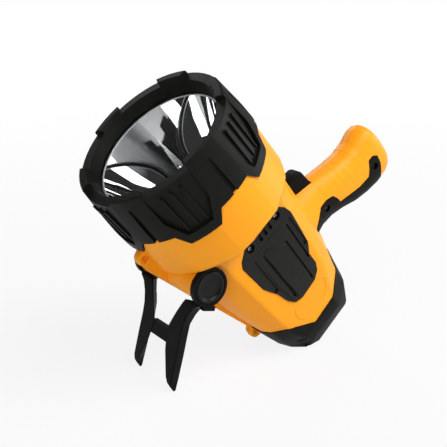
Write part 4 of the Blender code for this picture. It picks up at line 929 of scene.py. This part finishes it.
floorHalf = studio["floorSize"] / 2
floorMesh = bpy.data.meshes.new("floor")
floorMesh.from_pydata([(-floorHalf, -floorHalf, 0), (floorHalf, -floorHalf, 0),
                       (floorHalf, floorHalf, 0), (-floorHalf, floorHalf, 0)], [], [(0, 1, 2, 3)])
floor = bpy.data.objects.new("floor", floorMesh)
bpy.context.scene.collection.objects.link(floor)
floorMaterial = bpy.data.materials.new("paleFloor")
floorMaterial.use_nodes = True
tree = floorMaterial.node_tree
floorShader = tree.nodes["Principled BSDF"]
floorShader.inputs["Base Color"].default_value = (*studio["floorColor"], 1)
floorShader.inputs["Roughness"].default_value = studio["floorRough"]
floorShader.inputs["Specular IOR Level"].default_value = 0.0
glow = addNode(tree, "ShaderNodeEmission")
rays = addNode(tree, "ShaderNodeLightPath")
bent = addMath(tree, "MAXIMUM", rays.outputs["Is Glossy Ray"], rays.outputs["Is Transmission Ray"])
seen = addMath(tree, "MAXIMUM", rays.outputs["Is Camera Ray"], bent)
blendFloor = addNode(tree, "ShaderNodeMixShader")
flat = addNode(tree, "ShaderNodeTexCoord")
length = addNode(tree, "ShaderNodeVectorMath", operation="LENGTH")
tree.links.new(flat.outputs["Object"], length.inputs[0])
glowShare = addRange(tree, length.outputs["Value"], *studio["glowReach"], *studio["glowLevel"])
tree.links.new(addMath(tree, "MULTIPLY", seen, glowShare), blendFloor.inputs["Fac"])
tree.links.new(floorShader.outputs["BSDF"], blendFloor.inputs[1])
tree.links.new(glow.outputs["Emission"], blendFloor.inputs[2])
tree.links.new(blendFloor.outputs["Shader"], tree.nodes["Material Output"].inputs["Surface"])
floorMesh.materials.append(floorMaterial)

world = bpy.data.worlds.new("studio")
bpy.context.scene.world = world
world.use_nodes = True
tree = world.node_tree
direction = addNode(tree, "ShaderNodeTexCoord")
split = addNode(tree, "ShaderNodeSeparateXYZ")
tree.links.new(direction.outputs["Generated"], split.inputs["Vector"])
fall = addRange(tree, split.outputs["Z"], *studio["fallHeights"], *studio["fallLevels"])
toRoom = addNode(tree, "ShaderNodeVectorMath", operation="DOT_PRODUCT")
tree.links.new(direction.outputs["Generated"], toRoom.inputs[0])
toRoom.inputs[1].default_value = studio["roomWay"]
roomShade = addRange(tree, toRoom.outputs["Value"], *studio["roomReach"], *studio["roomLevel"])
fall = addMath(tree, "MULTIPLY", fall, roomShade)
rays = addNode(tree, "ShaderNodeLightPath")
level = addMath(tree, "MAXIMUM", rays.outputs["Is Camera Ray"], fall)
tree.links.new(level, tree.nodes["Background"].inputs["Strength"])
tree.nodes["Background"].inputs["Color"].default_value = (1, 1, 1, 1)

# Camera
cameraData = bpy.data.cameras.new("photoCamera")
cameraData.lens = lens["length"]
cameraData.sensor_width = lens["sensor"]
cameraData.clip_start = lens["clipStart"]
camera = bpy.data.objects.new("photoCamera", cameraData)
bpy.context.scene.collection.objects.link(camera)
right, down, forward = (lampTurn @ Vector(lens[way]) for way in ("right", "down", "forward"))
cameraTurn = Matrix((right, -down, -forward)).transposed().to_quaternion()
camera.matrix_world = Matrix.Translation(Vector(toWorld(lens["place"]))) @ cameraTurn.to_matrix().to_4x4()
bpy.context.scene.camera = camera
bpy.context.scene.view_settings.view_transform = "Standard"
print("studio ready")
